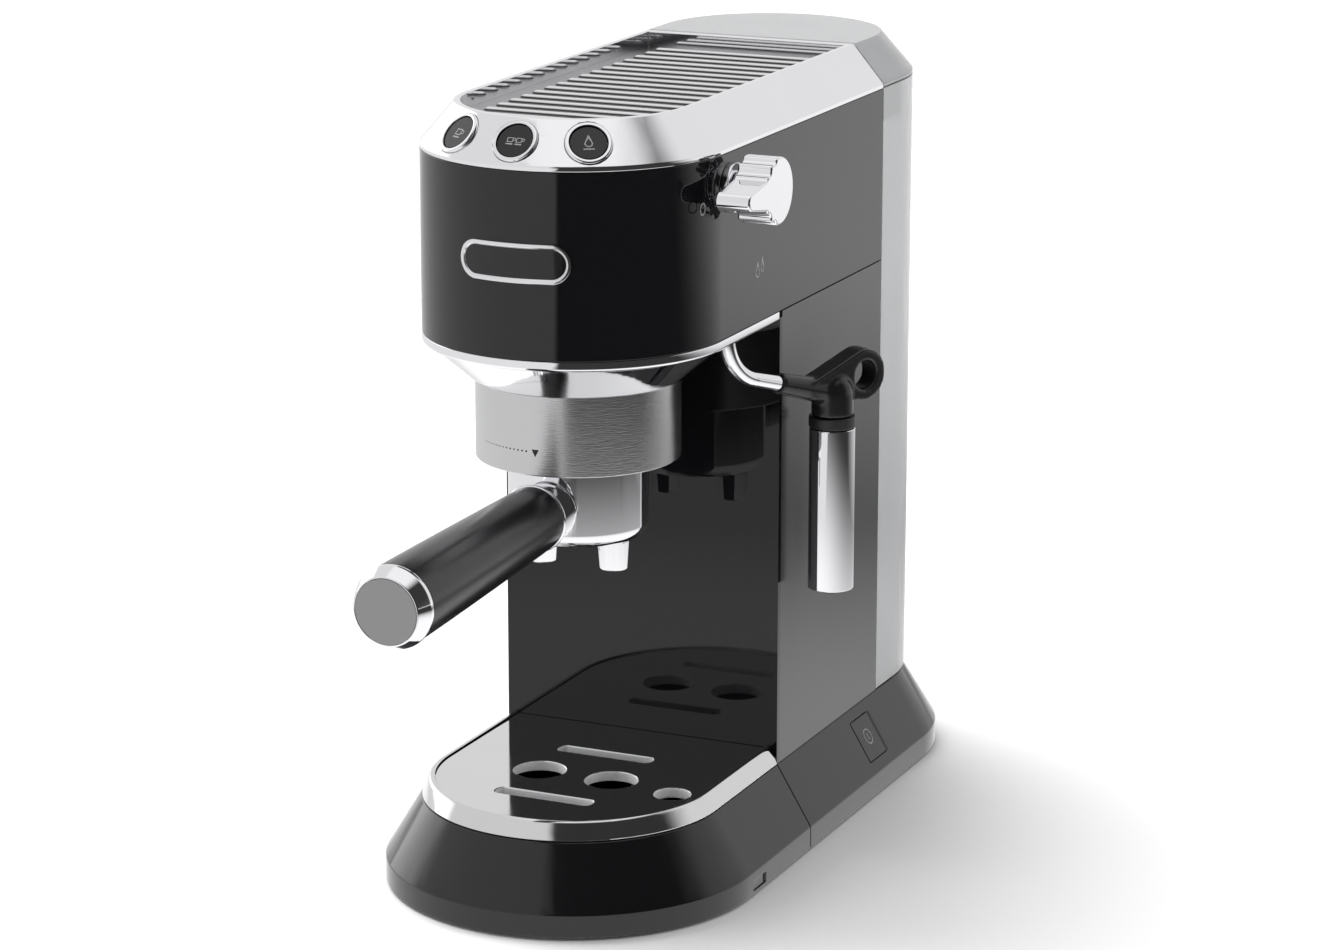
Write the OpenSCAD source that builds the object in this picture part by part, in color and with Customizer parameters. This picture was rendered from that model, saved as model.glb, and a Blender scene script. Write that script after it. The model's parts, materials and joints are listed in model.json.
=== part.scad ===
// Slim pump espresso machine, built as separate pieces in one frame.
// Millimetres, Z up. The origin is on the table under the brew axis, and +Y runs to the back.

/* [Body] */
// Width of the tower and of the head, also the diameter of their round ends
body_w = 119; // [117:0.5:120]
// From the brew axis back to the front panel
panel_y = 57.5; // [57.2:0.1:62]
// Depth of the tower behind the front panel
tower_d = 107.7; // [105:0.1:114]
// Wall of the moulded housings
wall = 2.5; // [2.2:0.1:2.8]
// Height of the tower's top edge, where the head begins
head_z = 219.3; // [217:0.1:226]
// Height of the head's black band
head_h = 71; // [69:0.5:76]

/* [Base] */
// Width of the base at the table
base_w = 149; // [147:0.5:152]
// Height of the base under the tower
base_h = 34.2; // [34:0.1:36]
// Height of the upright band round the foot of the base
band_h = 10.2; // [9:0.1:12]
// Gap between the base and the table
table_gap = 1.2; // [1:0.1:1.6]
// How far the base's round nose is centred ahead of the brew axis
nose_fwd = 4.5; // [3:0.5:6]
// From the front panel to the centre of the base's round back
base_back = 127; // [125:0.5:130]
// From the front panel to the flat at the very back
flat_back = 193; // [190:0.5:195]
// Radius of a rubber foot
foot_r = 8; // [6:0.5:9]

/* [Drip tray] */
// Wall of the drip tray
tray_wall = 2.2; // [1.8:0.1:2.6]
// Height of the drip plate above the base
plate_rise = 7.5; // [7:0.1:9]
// Sheet of the drip plate
plate_t = 1.2; // [1:0.1:1.5]
// Width lost by the plate's sloped rim on each side
rim_slope = 2.5; // [2:0.1:3.5]
// Radius of the two drain holes
drain_r = 10.5; // [9:0.5:12]
// Half the distance between the drain holes
drain_x = 15.5; // [14:0.5:17]
// Length of a drain slot
slot_l = 41; // [36:1:46]
// Width of a drain slot
slot_w = 4.4; // [4.2:0.1:5.5]
// From the nose centre to each drain slot
slot_y = 28; // [26:0.5:30]
// Radius of the float's window
float_r = 7.25; // [6.5:0.25:8]
// How far the float can rise
float_rise = 8; // [6:0.5:10]

/* [Crown] */
// Height of the chrome crown above the head
crown_h = 17.3; // [16.5:0.1:18]
// Height of the upright lip under the crown's chamfer
crown_lip = 1.8; // [1.2:0.1:2.2]
// Half the width of the crown's flat top
crown_half = 46.2; // [46:0.2:47.6]
// Width of the flat rim round the cup warmer
crown_rim = 2.4; // [2:0.1:2.8]
// Depth of the cup warmer below the rim
cup_sink = 6; // [5:0.5:6.5]
// Distance from rib to rib on the cup warmer
rib_pitch = 10.45; // [9:0.05:12]
// Height of a rib
rib_h = 1.2; // [0.8:0.1:1.6]
// Radius of a push button
button_r = 6.9; // [6:0.1:7.2]
// Turn from one button to the next round the crown
button_step = 30; // [27:1:33]
// Travel of a push button
button_travel = 1.2; // [0.8:0.1:1.4]

/* [Brew group] */
// Outer radius of the steel collar
collar_r = 39.5; // [39.2:0.1:40]
// Height of the collar's lower edge
collar_z = 170; // [169.5:0.1:171]
// Height of the collar
collar_h = 31.2; // [30.5:0.1:32]
// Wall of the collar
collar_wall = 3; // [2.6:0.1:3]
// Outer radius of the filter holder's cup
holder_r = 27.25; // [26.5:0.05:27.5]
// Height of the filter holder's underside
holder_z = 138; // [136:0.5:139]
// Wall of the filter holder's cup
holder_wall = 2.05; // [1.9:0.05:2.2]
// How far a locking lug stands out from the cup
lug_out = 5.6; // [5:0.1:5.8]
// Angle that a locking lug covers
lug_angle = 50; // [44:1:54]
// Turn that unlocks the filter holder
unlock_turn = 45; // [44:1:50]
// Half the distance between the two spouts
spout_x = 15; // [14:0.5:16]
// Height of the spouts' tips
spout_z = 125.5; // [123:0.5:128]

/* [Handle] */
// From the brew axis to the front of the handle's end disc
handle_end = 159.5; // [150:0.5:170]
// From the brew axis to the neck end of the grip
grip_start = 40; // [38:0.5:44]
// Radius of the grip at the neck
grip_neck_r = 12.8; // [12:0.1:13]
// Radius of the grip at its end
grip_end_r = 15.3; // [14.5:0.1:16]
// Height of the handle's axis over the cup's underside, at the brew axis
handle_rise = 16.8; // [16:0.1:17]
// Downward tilt of the handle
handle_tilt = 2; // [1:0.5:3]

/* [Steam wand] */
// Sideways place of the wand's swivel
swivel_x = 50.5; // [50.2:0.1:50.8]
// Place of the wand's swivel behind the brew axis
swivel_y = 27; // [25:0.5:27.5]
// Level reach of the wand from its swivel
wand_reach = 55; // [54.5:0.5:57]
// Turn of the parked wand, out from straight back
park_turn = 25.4; // [25:0.2:27]
// Outer radius of the wand's pipe
pipe_r = 3; // [2.6:0.1:3.2]
// Radius of the pipe's bend
bend_r = 19; // [18:0.5:20]
// Slope of the pipe after its bend
pipe_slope = 16; // [14:1:18]
// Outer radius of the chrome sleeve
sleeve_r = 9.1; // [8.4:0.1:9.4]
// Length of the chrome sleeve
sleeve_l = 65.5; // [60:0.5:70]

/* [Steam knob] */
// Height of the knob's axis above the head's lower edge
knob_rise = 57.7; // [57:0.1:58.5]
// Place of the knob's axis behind the brew axis
knob_y = 7.5; // [6:0.5:9]
// Radius of the knob's round part
knob_r = 12.9; // [12:0.1:13.4]
// Reach of the knob's pointer from its axis
pointer_l = 29; // [26:0.5:31]
// Thickness of the knob
knob_t = 14; // [12:0.5:15]
// Gap between the side wall and the knob's back
knob_gap = 6.5; // [6:0.5:8]

/* [Water tank] */
// From the front panel to the centre of the tank's round back
tank_back = 130; // [128:0.5:132]
// Wall of the water tank
tank_wall = 2.2; // [1.8:0.1:2.4]
// Gap between the tower and the tank
tank_gap = 0.5; // [0.4:0.1:0.8]
// Place of the tank's outlet behind its front wall
outlet_y = 39; // [36:0.5:42]
// Wall of the tank's lid
lid_wall = 2; // [1.8:0.1:2.2]

/* [Power flap] */
// Side of the square flap
flap_w = 18; // [16:0.5:19]
// From the front panel to the flap's free edge
flap_y = 72; // [68:0.5:76]
// Thickness of the flap
flap_t = 2; // [1.6:0.1:2.1]

/* [Hidden] */
$fn = 96;
fit = 0.08;          // running clearance of a shaft in its hole, on the radius
gap = 0.3;           // clearance between pieces that part or slide
cut = 1;             // how far a cutter runs past the face that it cuts
half = body_w / 2;
base_r = base_w / 2;
base_top_r = half + 0.5;
rear_y = panel_y + tower_d;
head_top = head_z + head_h;
crown_top = head_top + crown_h;
base_end = panel_y + flat_back;
base_arc = panel_y + base_back;
tank_arc = panel_y + tank_back;
tank_y = rear_y + tank_gap;
crown_run = half - crown_half;
crown_fall = crown_h - crown_lip;

// Base structure
tongue_half = 50;
tongue_t = 3;
tongue_root = 12;
tongue_top = table_gap + tongue_t;
plate_under = table_gap + wall;
foot_sink = 0.8;
foot_edge = 0.6;
boss_r = 4.5;
screw_r = 1.5;
screw_l = 11;
screw_head_r = 3;
screw_head_t = 1.2;
boss_x = base_top_r - wall - boss_r;
boss_ys = [panel_y + 19, base_arc];
foot_x = 46;
foot_spots = [
    [0, 0],
    [-foot_x, panel_y + 34], [foot_x, panel_y + 34],
    [-foot_x, base_arc + 20], [foot_x, base_arc + 20]
];
deck_z = base_h - wall;
stiff_front = 14;
stiff_back = 9;
stiff_in = 1.5;
stiff_t = 1.6;
hatch_half = 20;
hatch_y = rear_y - 26;
hatch_d = 20;

// Drip tray
tray_back = panel_y - gap;
tray_under = tongue_top + gap;
tray_floor = tray_under + tray_wall;
plate_top = base_h + plate_rise;
float_x = 44;
float_y = -nose_fwd - 5.5;
float_play = 2.55;
float_body_r = float_r - float_play;
float_body_h = 12;
float_stem_r = 3.2;
float_cap_t = 3.5;
float_drop = 13.2;
peg_r = 1.5;
peg_h = float_rise + 2;
roll_h = 3;
roll_t = 1.2;
rim_edge = 1;
step_in = 1.6;
step_down = 0.8;
notch_l = 12;
notch_t = 0.8;
notch_h = 4;
notch_y = -nose_fwd + 4;
notch_z = table_gap + 1.3;

// Crown and its buttons
crown_tilt = atan2(crown_fall, crown_run);
button_mid_r = half - crown_run / 2;
button_mid_z = head_top + crown_lip + crown_fall / 2;
ring_r = button_r + gap + 1.6;
ring_in = 1.4;
ring_out = 0.8;
ring_edge = 0.4;
button_in = 2.4;
button_out = 0.3;
button_well = button_in + button_travel + 0.8;
stem_r = 2.4;
stem_in = 10;
switch_r = 4;
switch_in = stem_in + button_travel + 0.4;
button_turns = [-button_step, 0, button_step];
crown_wall = 2.2;
ledge_w = 3;
ledge_t = 1.4;
warmer_t = 1.2;
cup_floor = crown_top - cup_sink;
ledge_z = cup_floor - warmer_t;
warmer_r = crown_half - crown_rim;
warmer_back = rear_y - 3.4;
rib_r = 3;
rib_half = 34;
rib_edge = 3;
rib_last = warmer_back - 10.3;
rib_count = floor((rib_last + warmer_r - 16) / rib_pitch) + 1;
board_top = head_top - 3.6;
board_t = 1.6;
board_in = 31;
board_out = 49;
board_turn = 68;
post_r = 2.5;
post_ring = 46;
post_turns = [-58, -15, 15, 58];

// Brew group
collar_top = collar_z + collar_h;
collar_lid = 2;
holder_top = collar_z + 10.5;
lug_z = collar_z + 5.3;
lug_t = 3.4;
lug_spread = 5;
basket_t = 0.8;
basket_wall = 0.6;
basket_depth = 24;
basket_gap = 0.6;
heel_in = 2;
heel_h = 3;
sieve_pitch = 5.6;
sieve_r = 0.6;
spring_drop = 7;
gasket_z = holder_top + basket_t + gap;
gasket_t = 6;
gasket_in = 21.3;
gasket_out = holder_r + 1;
seat_z = gasket_z + gasket_t;
lip_z = collar_z + 1.5;
mouth_r = holder_r + 1.1;
channel_r = holder_r + lug_out + 0.7;
shoulder_r = collar_r - collar_wall - gap;
shoulder_z = collar_top - collar_lid;
neck_r = 28;
flange_r = 34;
flange_t = 2.7;
casting_top = head_z + 5.7;
screen_r = 20.8;
screen_t = 1.4;
screen_pitch = 4;
screen_hole_r = 0.7;
screen_z = gasket_z + 1.6;
bolt_r = 2;
bolt_head_r = 4.2;
bolt_head_t = 1.5;
bolt_l = 14;
cup_round = 6;
floor_t = 6;
spout_bore = 2.5;
spout_r = 6.6;
spout_tip_r = 5.7;

// Handle
handle_z = holder_z + handle_rise;
neck_in = 22;
neck_in_r = 10.2;
neck_rim = 1.6;
neck_step = 0.6;
rim_step = 0.4;
core_r = 6;
core_l = 22;
ring_back = handle_end - 7.5;
ring_flat = 2;
ring_out_r = grip_end_r + 0.3;
ring_face_r = 12.8;
disc_r = 12.3;
disc_t = 1.6;
spigot_r = 8;
spigot_l = 6;

// Trim under the head
trim_drop = 4;
trim_z = head_z - trim_drop;
trim_edge = 1;
floor_z = head_z - wall;
trim_wall = 1.4;
lip_t = 1.4;
funnel_top_r = half - wall;
funnel_low_z = collar_top + gap;

// Steam side
knob_z = head_z + knob_rise;
knob_x = half + knob_gap;
hub_r = 6.5;
bezel_t = 3;
bezel_r = 9.5;
spindle_r = 3;
spindle_l = 28;
spindle_room = 1;
tip_r = 3.4;
pointer_root_r = 7.5;
flute_r = 2.4;
flute_out = 1;
flute_turns = [112, 138, 222, 248];
valve_x = half - 35.5;
valve_w = 30;
valve_d = 26;
valve_h = 22;
socket_drop = 4.8;
socket_z = head_z - socket_drop;
socket_flange_r = 6.9;
socket_body_r = 5;
socket_top = head_z + 12.7;
bead = 0.03;
bend_turn = 90 - pipe_slope;
bend_t = bend_r * (1 - cos(bend_turn));
bend_end_z = socket_z - gap - bend_r * sin(bend_turn);
arm_z = bend_end_z - (wand_reach - bend_t) * tan(pipe_slope);
arm_l = 30;
arm_r = 4.2;
arm_root_r = 5.4;
arm_core = 9;
arm_low_y = -12;
arm_low_z = 3.4;
arm_low_r = 4;
grip_r = 8.3;
grip_h = 9;
grip_bottom = arm_z - grip_h;
selector_h = 4.5;
nozzle_r = 4.5;
nozzle_bore = 1.6;
nozzle_plug = 4;
nozzle_out = 1.5;
rim_out = 0.2;
sleeve_top = grip_bottom - selector_h - gap;
sleeve_z = sleeve_top - sleeve_l;
sleeve_wall = 1.5;
sleeve_cap = 2;
loop_t = 13.7;
loop_rise = 5.9;
loop_r = 10.4;
loop_hole = 5.8;
loop_w = 9;

// Water tank
tank_z = base_h + gap;
tank_floor = 2.5;
tank_top = head_top;
outlet_r = 9;
outlet_bore = 5;
outlet_drop = 7.5;
outlet_at = tank_y + outlet_y;
cup_wall = 3;
cup_fit = 0.4;
cup_drop = 9.7;
cup_base_t = 2.5;
nipple_l = 8;
pin_r = 1.5;
port_r = 0.9;
valve_lift = 0.3;
valve_stem_l = 7;
valve_stem_r = 1.8;
valve_t = 2.2;
filter_r = 12;
filter_h = 15;
filter_wall = 1.4;
filter_gap = 3;
hinge_y = tank_y + 3.2;
hinge_z = crown_top - 3.2;
hinge_r = 3.35;
hinge_pin_r = 1.2;
ear_x = 41.5;
ear_w = 3;
ear_r = 2.4;
cheek_w = 3.7;
cheek_r = 3.2;
cheek_gap = 0.3;
lid_gap = 0.5;
bracket_t = 2;
bracket_h = 10.3;
tab_d = 19;
tab_h = 14;

// Power flap
slope_turn = atan2(base_h - band_h, base_r - base_top_r);
flap_down = 4.7;
flap_hinge_gap = 0.3;
flap_pin_in = 1;
flap_pin_r = 0.6;
flap_pin_l = 1.5;
flap_post = 5;
flap_post_r = 2;
switch_gap = 1.6;
switch_w = 11;

// Inside the tower and the head
thermo_r = 38;
thermo_h = 33;
thermo_top = casting_top + thermo_h;
thermo_in_z = casting_top + 15;
thermo_out_x = 12;
fin_foot = 6;
fin_pitch = 5;
fin_gap = 2;
fin_depth = 3;
fin_web = 16;
nut_h = 2.4;
pump_x = -8;
pump_y = panel_y + 54.5;
pump_r = 11;
pump_z = base_h + 9.8;
pump_l = 126;
mount_r = 15;
mount_h = 14;
ring_z = pump_z + 106;
pump_neck = 14;
pump_in_z = 22;
coil_z = 40;
coil_w = 38;
coil_h = 44;
nut_r = 7;
nut_t = 9;
strap_w = 10;
strap_h = 8;
meter_x = 25;
meter_y = pump_y;
meter_r = 13;
meter_h = 12;
meter_in_z = 7;
hose_r = 3;
hose_joint = 3.05;
port_l = 6;
port_out = 4;
brew_x = -16;
brew_y = -6;
brew_foot = 20;
brew_foot_t = 7;
brew_coil_r = 9.5;
brew_coil_h = 16;
steam_out_x = swivel_x - 2.5;
steam_out_y = knob_y + 8.5;
steam_low = knob_z - valve_h / 2;
steam_in_z = knob_z - 5;
steam_post_r = 4;
board_x = -half + 7;
board_y = panel_y + 22.5;
board_z = base_h + 74;
board_d = 70;
board_h = 92;
board_hole = 6;
standoff_r = 3;
inlet_z = 12.5;
inlet_r = 6.5;
inlet_bore = 3.6;
inlet_flange_r = 8;
inlet_flange_t = 2.5;

// Whole outline from a half outline that starts and ends on the axis
function both(pts) = concat(pts, [for (i = [len(pts) - 2:-1:1]) [-pts[i][0], pts[i][1]]]);

// Half outline of an upright-sided block
function slab(r, z0, z1) = [[0, z0], [r, z0], [r, z1], [0, z1]];

// Half width of the base's sloping side at height z
function slope_r(z) = base_r - (base_r - base_top_r) * (z - band_h) / (base_h - band_h);

// Half outline of the base: upright band, then the slope
function base_half(inset, z0, z1) =
    [[0, z0], [base_r - inset, z0], [base_r - inset, band_h], [slope_r(z1) - inset, z1], [0, z1]];

// Half width of the crown's chamfer at height z
function crown_r(z) = half - crown_run * (z - head_top - crown_lip) / crown_fall;

// Half outline of the crown: upright lip, then the chamfer
function crown_outline(inset, z0, z1) =
    [[0, z0], [half - inset, z0], [half - inset, head_top + crown_lip], [crown_r(z1) - inset, z1], [0, z1]];

// Half length of the cup warmer's rib at depth y, shorter where the front is round
function rib_reach(y) = y > 0 ? rib_half : min(rib_half, sqrt(pow(warmer_r - rib_edge, 2) - y * y) - rib_r);

// Body with a round nose about y_arc and straight sides back to y_back
module nosed(pts, y_arc, y_back) {
    translate([0, y_arc, 0]) rotate([0, 0, 180]) rotate_extrude(angle = 180) polygon(pts);
    translate([0, y_back, 0]) rotate([90, 0, 0])
        linear_extrude(height = y_back - y_arc) polygon(both(pts));
}

// Body with straight sides from y_front and a round back about y_arc
module backed(pts, y_front, y_arc) {
    translate([0, y_arc, 0]) rotate_extrude(angle = 180) polygon(pts);
    translate([0, y_arc, 0]) rotate([90, 0, 0])
        linear_extrude(height = y_arc - y_front) polygon(both(pts));
}

// Tube of outer radius r, bore b and height h
module tube(r, b, h) {
    difference() {
        cylinder(r = r, h = h);
        translate([0, 0, -cut]) cylinder(r = b, h = h + 2 * cut);
    }
}

// Flat slot shape of length l and width w along X
module stadium(l, w) {
    square([l - w, w], center = true);
    for (side = [-1, 1]) translate([side * (l - w) / 2, 0]) circle(d = w);
}

// Straight round bar of radius r from point a to point b
module bar(a, b, r) {
    d = b - a;
    l = norm(d);
    translate(a) rotate([0, acos(d[2] / l), atan2(d[1], d[0])]) cylinder(r = r, h = l);
}

// Hose along the points, with round corners and flat ends
module hose(pts) {
    for (i = [0:len(pts) - 2]) bar(pts[i], pts[i + 1], hose_r);
    for (i = [1:len(pts) - 2]) translate(pts[i]) sphere(r = hose_joint);
}

// Place on the crown's chamfer, with Z out along its normal
module on_crown(turn) {
    rotate([0, 0, turn]) translate([0, -button_mid_r, button_mid_z]) rotate([crown_tilt, 0, 0]) children();
}

// Place on the base's right slope, with X down the slope and Z outward
module on_slope(along, y) {
    translate([base_top_r, y, base_h]) rotate([0, slope_turn, 0]) translate([along, 0, 0]) children();
}

// Place on the handle's axis, with Z out along the handle
module on_handle(out) {
    translate([0, 0, handle_z]) rotate([90 + handle_tilt, 0, 0]) translate([0, 0, out]) children();
}

// Place on the wand, with Y along the parked wand's reach and the swivel at the origin
module on_wand() {
    translate([swivel_x, swivel_y, 0]) rotate([0, 0, -park_turn]) children();
}

// ---- housings ----

module base_shell() {
    color("#1b1b1d") difference() {
        union() {
            difference() {
                backed(base_half(0, table_gap, base_h), panel_y, base_arc);
                intersection() {
                    backed(base_half(wall, table_gap - cut, deck_z), panel_y + wall, base_arc);
                    translate([-base_r, 0, -cut]) cube([base_w, base_end - wall, base_h + 2 * cut]);
                }
            }
            for (y = boss_ys) for (side = [-1, 1])
                translate([side * boss_x, y, plate_under])
                    cylinder(r = boss_r, h = base_h - plate_under - cut);
        }
        translate([-base_r, base_end, 0]) cube([base_w, base_r, base_h + cut]);
        translate([-tongue_half - gap, panel_y - cut, 0])
            cube([2 * (tongue_half + gap), wall + 2 * cut, tray_under]);
        translate([-hatch_half, hatch_y, deck_z - cut]) cube([2 * hatch_half, hatch_d, wall + 2 * cut]);
        translate([0, outlet_at, deck_z - cut]) cylinder(r = outlet_r + cup_fit, h = wall + 2 * cut);
        on_slope(flap_down - gap, panel_y + flap_y - gap)
            translate([0, 0, -2 * wall]) cube([flap_w + 2 * gap, flap_w + gap + flap_hinge_gap, 3 * wall]);
        on_slope(flap_down, panel_y + flap_y) flap_pin(flap_pin_r + fit, flap_pin_l + gap);
        translate([0, base_end + cut, inlet_z]) rotate([90, 0, 0]) cylinder(r = inlet_r, h = wall + 2 * cut);
        for (y = boss_ys) for (side = [-1, 1])
            translate([side * boss_x, y, plate_under - cut]) cylinder(r = screw_r, h = screw_l + cut);
    }
}

module base_plate() {
    color("#242426") difference() {
        union() {
            intersection() {
                translate([0, 0, table_gap]) linear_extrude(height = wall) union() {
                    translate([0, base_arc]) circle(r = base_r - wall - gap);
                    translate([-base_r + wall + gap, panel_y + wall + gap])
                        square([base_w - 2 * (wall + gap), base_back - wall - gap]);
                }
                translate([-base_r, panel_y, 0]) cube([base_w, flat_back - wall - gap, base_h]);
            }
            nosed(slab(tongue_half, table_gap, tongue_top), -nose_fwd, panel_y + tongue_root);
        }
        for (spot = foot_spots)
            translate([spot[0], spot[1], table_gap - cut]) cylinder(r = foot_r + fit, h = foot_sink + cut);
        for (y = boss_ys) for (side = [-1, 1]) translate([side * boss_x, y, 0]) {
            cylinder(r = screw_r + gap, h = base_h);
            cylinder(r = screw_head_r + gap, h = table_gap + screw_head_t);
        }
    }
}

module rubber_feet() {
    color("#2c2c2c") for (spot = foot_spots) translate([spot[0], spot[1], 0]) {
        cylinder(r1 = foot_r - foot_edge, r2 = foot_r, h = foot_edge);
        translate([0, 0, foot_edge])
            cylinder(r = foot_r, h = table_gap + foot_sink - foot_edge);
    }
}

module front_panel() {
    color("#0c0c0d") translate([-half, panel_y, base_h]) cube([body_w, wall, floor_z - base_h]);
}

// Side wall of the tower, with two stiffening ribs up its inner face
module side_panel() {
    translate([half - wall, panel_y + wall, base_h])
        cube([wall, tower_d - wall, head_z - gap - base_h]);
    for (y = [panel_y + stiff_front, rear_y - stiff_back])
        translate([half - wall - stiff_in, y, base_h])
            cube([stiff_in + wall / 2, stiff_t, floor_z - base_h]);
}

module side_panel_left() {
    color("#3a3a3b") mirror([1, 0, 0]) side_panel();
}

module side_panel_right() {
    color("#3a3a3b") side_panel();
}

module rear_panel() {
    inner = half - wall - fit;
    color("#1e1e20") translate([-inner, rear_y - wall, base_h])
        cube([2 * inner, wall, head_top - base_h - gap]);
}

module head_shell() {
    color("#0e0e10") difference() {
        nosed(slab(half, head_z, head_top), 0, rear_y);
        nosed(slab(half - wall, head_z - cut, head_top + cut), 0, rear_y + cut);
        translate([half - wall - cut, knob_y, knob_z]) rotate([0, 90, 0])
            cylinder(r = spindle_r + spindle_room, h = wall + 2 * cut);
    }
}

module head_floor() {
    color("#161617") difference() {
        nosed(slab(half - lip_t - 2 * fit, floor_z, head_z), 0, panel_y + wall);
        translate([0, 0, floor_z - cut]) cylinder(r = neck_r + gap, h = wall + 2 * cut);
        translate([swivel_x, swivel_y, floor_z - cut])
            cylinder(r = socket_body_r + fit, h = wall + 2 * cut);
        for (x = [-half, half - wall]) translate([x, panel_y - cut, floor_z - cut])
            cube([wall, wall + 2 * cut, wall + 2 * cut]);
    }
}

// Chrome lip under the head and the funnel that runs in to the collar
module head_trim() {
    funnel_in = collar_r + gap;
    color("#c9cbce") difference() {
        union() {
            difference() {
                nosed([
                    [0, trim_z], [half - trim_edge, trim_z], [half, trim_z + trim_edge],
                    [half, head_z], [0, head_z]
                ], 0, tray_back);
                nosed(slab(half - lip_t, floor_z - fit, head_z + cut), 0, panel_y + cut);
                nosed(slab(funnel_top_r - cut, trim_z - cut, head_z + cut), 0, panel_y + cut);
            }
            rotate_extrude() polygon([
                [funnel_in, funnel_low_z], [funnel_in + trim_wall, funnel_low_z],
                [funnel_top_r, trim_z], [funnel_top_r, floor_z - fit],
                [funnel_top_r - trim_wall, floor_z - fit], [funnel_in, funnel_low_z + 1.2 * trim_wall]
            ]);
        }
        translate([swivel_x, swivel_y, collar_top])
            cylinder(r = socket_flange_r + 2 * gap, h = floor_z - collar_top);
    }
}

// ---- crown ----

module top_bezel() {
    color("#c4c6c9") difference() {
        union() {
            difference() {
                nosed(crown_outline(0, head_top, crown_top), 0, rear_y);
                nosed(crown_outline(crown_wall, head_top - cut, ledge_z - ledge_t), 0, rear_y - wall);
            }
            for (turn = post_turns) rotate([0, 0, turn])
                translate([0, -post_ring, board_top])
                    cylinder(r = post_r, h = ledge_z - ledge_t / 2 - board_top);
        }
        nosed(slab(warmer_r, ledge_z, crown_top + cut), 0, warmer_back);
        nosed(slab(warmer_r - ledge_w, head_top, crown_top + cut), 0, warmer_back - ledge_w);
        for (turn = button_turns) on_crown(turn) {
            translate([0, 0, -ring_in]) cylinder(r = ring_r + fit, h = ring_in + crown_wall);
            translate([0, 0, -button_well]) cylinder(r = button_r + gap, h = button_well + crown_wall);
            translate([0, 0, -2 * stem_in]) cylinder(r = stem_r + gap, h = 2 * stem_in);
        }
    }
}

// Brushed pan with raised ribs, where cups are kept warm
module cup_warmer() {
    color("#b9babd") union() {
        nosed(slab(warmer_r - fit, ledge_z, cup_floor), 0, warmer_back - fit);
        intersection() {
            for (i = [0:rib_count - 1]) rib(rib_last - i * rib_pitch);
            translate([-half, -half, ledge_z + warmer_t / 2]) cube([body_w, rear_y + half, cup_sink]);
        }
    }
}

// One raised rib across the cup warmer, round at both ends
module rib(y) {
    reach = rib_reach(y);
    translate([0, y, cup_floor + rib_h - rib_r]) {
        translate([-reach, 0, 0]) rotate([0, 90, 0]) cylinder(r = rib_r, h = 2 * reach);
        for (side = [-1, 1]) translate([side * reach, 0, 0]) sphere(r = rib_r);
    }
}

module button_rings() {
    color("#c9cbce") for (turn = button_turns) on_crown(turn) translate([0, 0, -ring_in]) difference() {
        union() {
            cylinder(r = ring_r, h = ring_in + ring_out - ring_edge);
            translate([0, 0, ring_in + ring_out - ring_edge])
                cylinder(r1 = ring_r, r2 = ring_r - ring_edge, h = ring_edge);
        }
        translate([0, 0, -cut]) cylinder(r = button_r + gap, h = ring_in + ring_out + 2 * cut);
    }
}

// Push button with its stem, at rest just above the chamfer
module push_button(turn) {
    color("#17171a") on_crown(turn) {
        translate([0, 0, -button_in]) cylinder(r = button_r, h = button_in + button_out);
        translate([0, 0, -stem_in]) cylinder(r = stem_r, h = stem_in);
    }
}

module button_one_cup() {
    push_button(button_turns[0]);
}

module button_two_cup() {
    push_button(button_turns[1]);
}

module button_steam() {
    push_button(button_turns[2]);
}

// Curved circuit board with one push switch under each button's stem
module button_board() {
    color("#2f6b45") union() {
        translate([0, 0, board_top - board_t]) rotate([0, 0, 270 - board_turn])
            rotate_extrude(angle = 2 * board_turn)
                translate([board_in, 0]) square([board_out - board_in, board_t]);
        intersection() {
            for (turn = button_turns) on_crown(turn)
                translate([0, 0, -2 * switch_in]) cylinder(r = switch_r, h = switch_in);
            translate([-half, -half, board_top - board_t / 2]) cube([body_w, body_w, crown_h]);
        }
    }
}

// ---- brew group ----

module group_collar() {
    color("#a9abae") difference() {
        translate([0, 0, collar_z]) cylinder(r = collar_r, h = collar_h);
        translate([0, 0, collar_z - cut])
            cylinder(r = collar_r - collar_wall, h = collar_h - collar_lid + cut);
        translate([0, 0, collar_z]) cylinder(r = neck_r + gap, h = collar_h + cut);
    }
}

// Cast head of the group: neck and flange above, the screen's boss below
module group_casting() {
    color("#8d8f92") rotate_extrude() polygon([
        [0, casting_top], [neck_r, casting_top],
        [neck_r, head_z + flange_t], [flange_r, head_z + flange_t],
        [flange_r, head_z], [neck_r, head_z], [neck_r, shoulder_z], [shoulder_r, shoulder_z],
        [shoulder_r, seat_z], [gasket_in, seat_z], [gasket_in, screen_z + screen_t],
        [bolt_r + fit, screen_z + screen_t], [bolt_r + fit, screen_z + bolt_l + fit],
        [0, screen_z + bolt_l + fit]
    ]);
}

// Bayonet ring under the casting: the lugs go in by two entries, then turn in its channel
module bayonet_ring() {
    entry_turn = (lug_angle + 2 * lug_spread) / 2;
    color("#85878a") difference() {
        rotate_extrude() polygon([
            [gasket_out, seat_z], [shoulder_r, seat_z], [shoulder_r, lip_z], [mouth_r, lip_z],
            [mouth_r, lug_z - gap], [channel_r, lug_z - gap], [channel_r, gasket_z], [gasket_out, gasket_z]
        ]);
        for (side = [0, 180]) rotate([0, 0, side - unlock_turn - entry_turn])
            translate([0, 0, lip_z - cut]) rotate_extrude(angle = 2 * entry_turn)
                translate([mouth_r - cut, 0])
                    square([channel_r - mouth_r + cut, lug_z - lip_z + cut]);
    }
}

module group_gasket() {
    color("#33302e") translate([0, 0, gasket_z]) tube(gasket_out - fit, gasket_in + fit, gasket_t);
}

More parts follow.
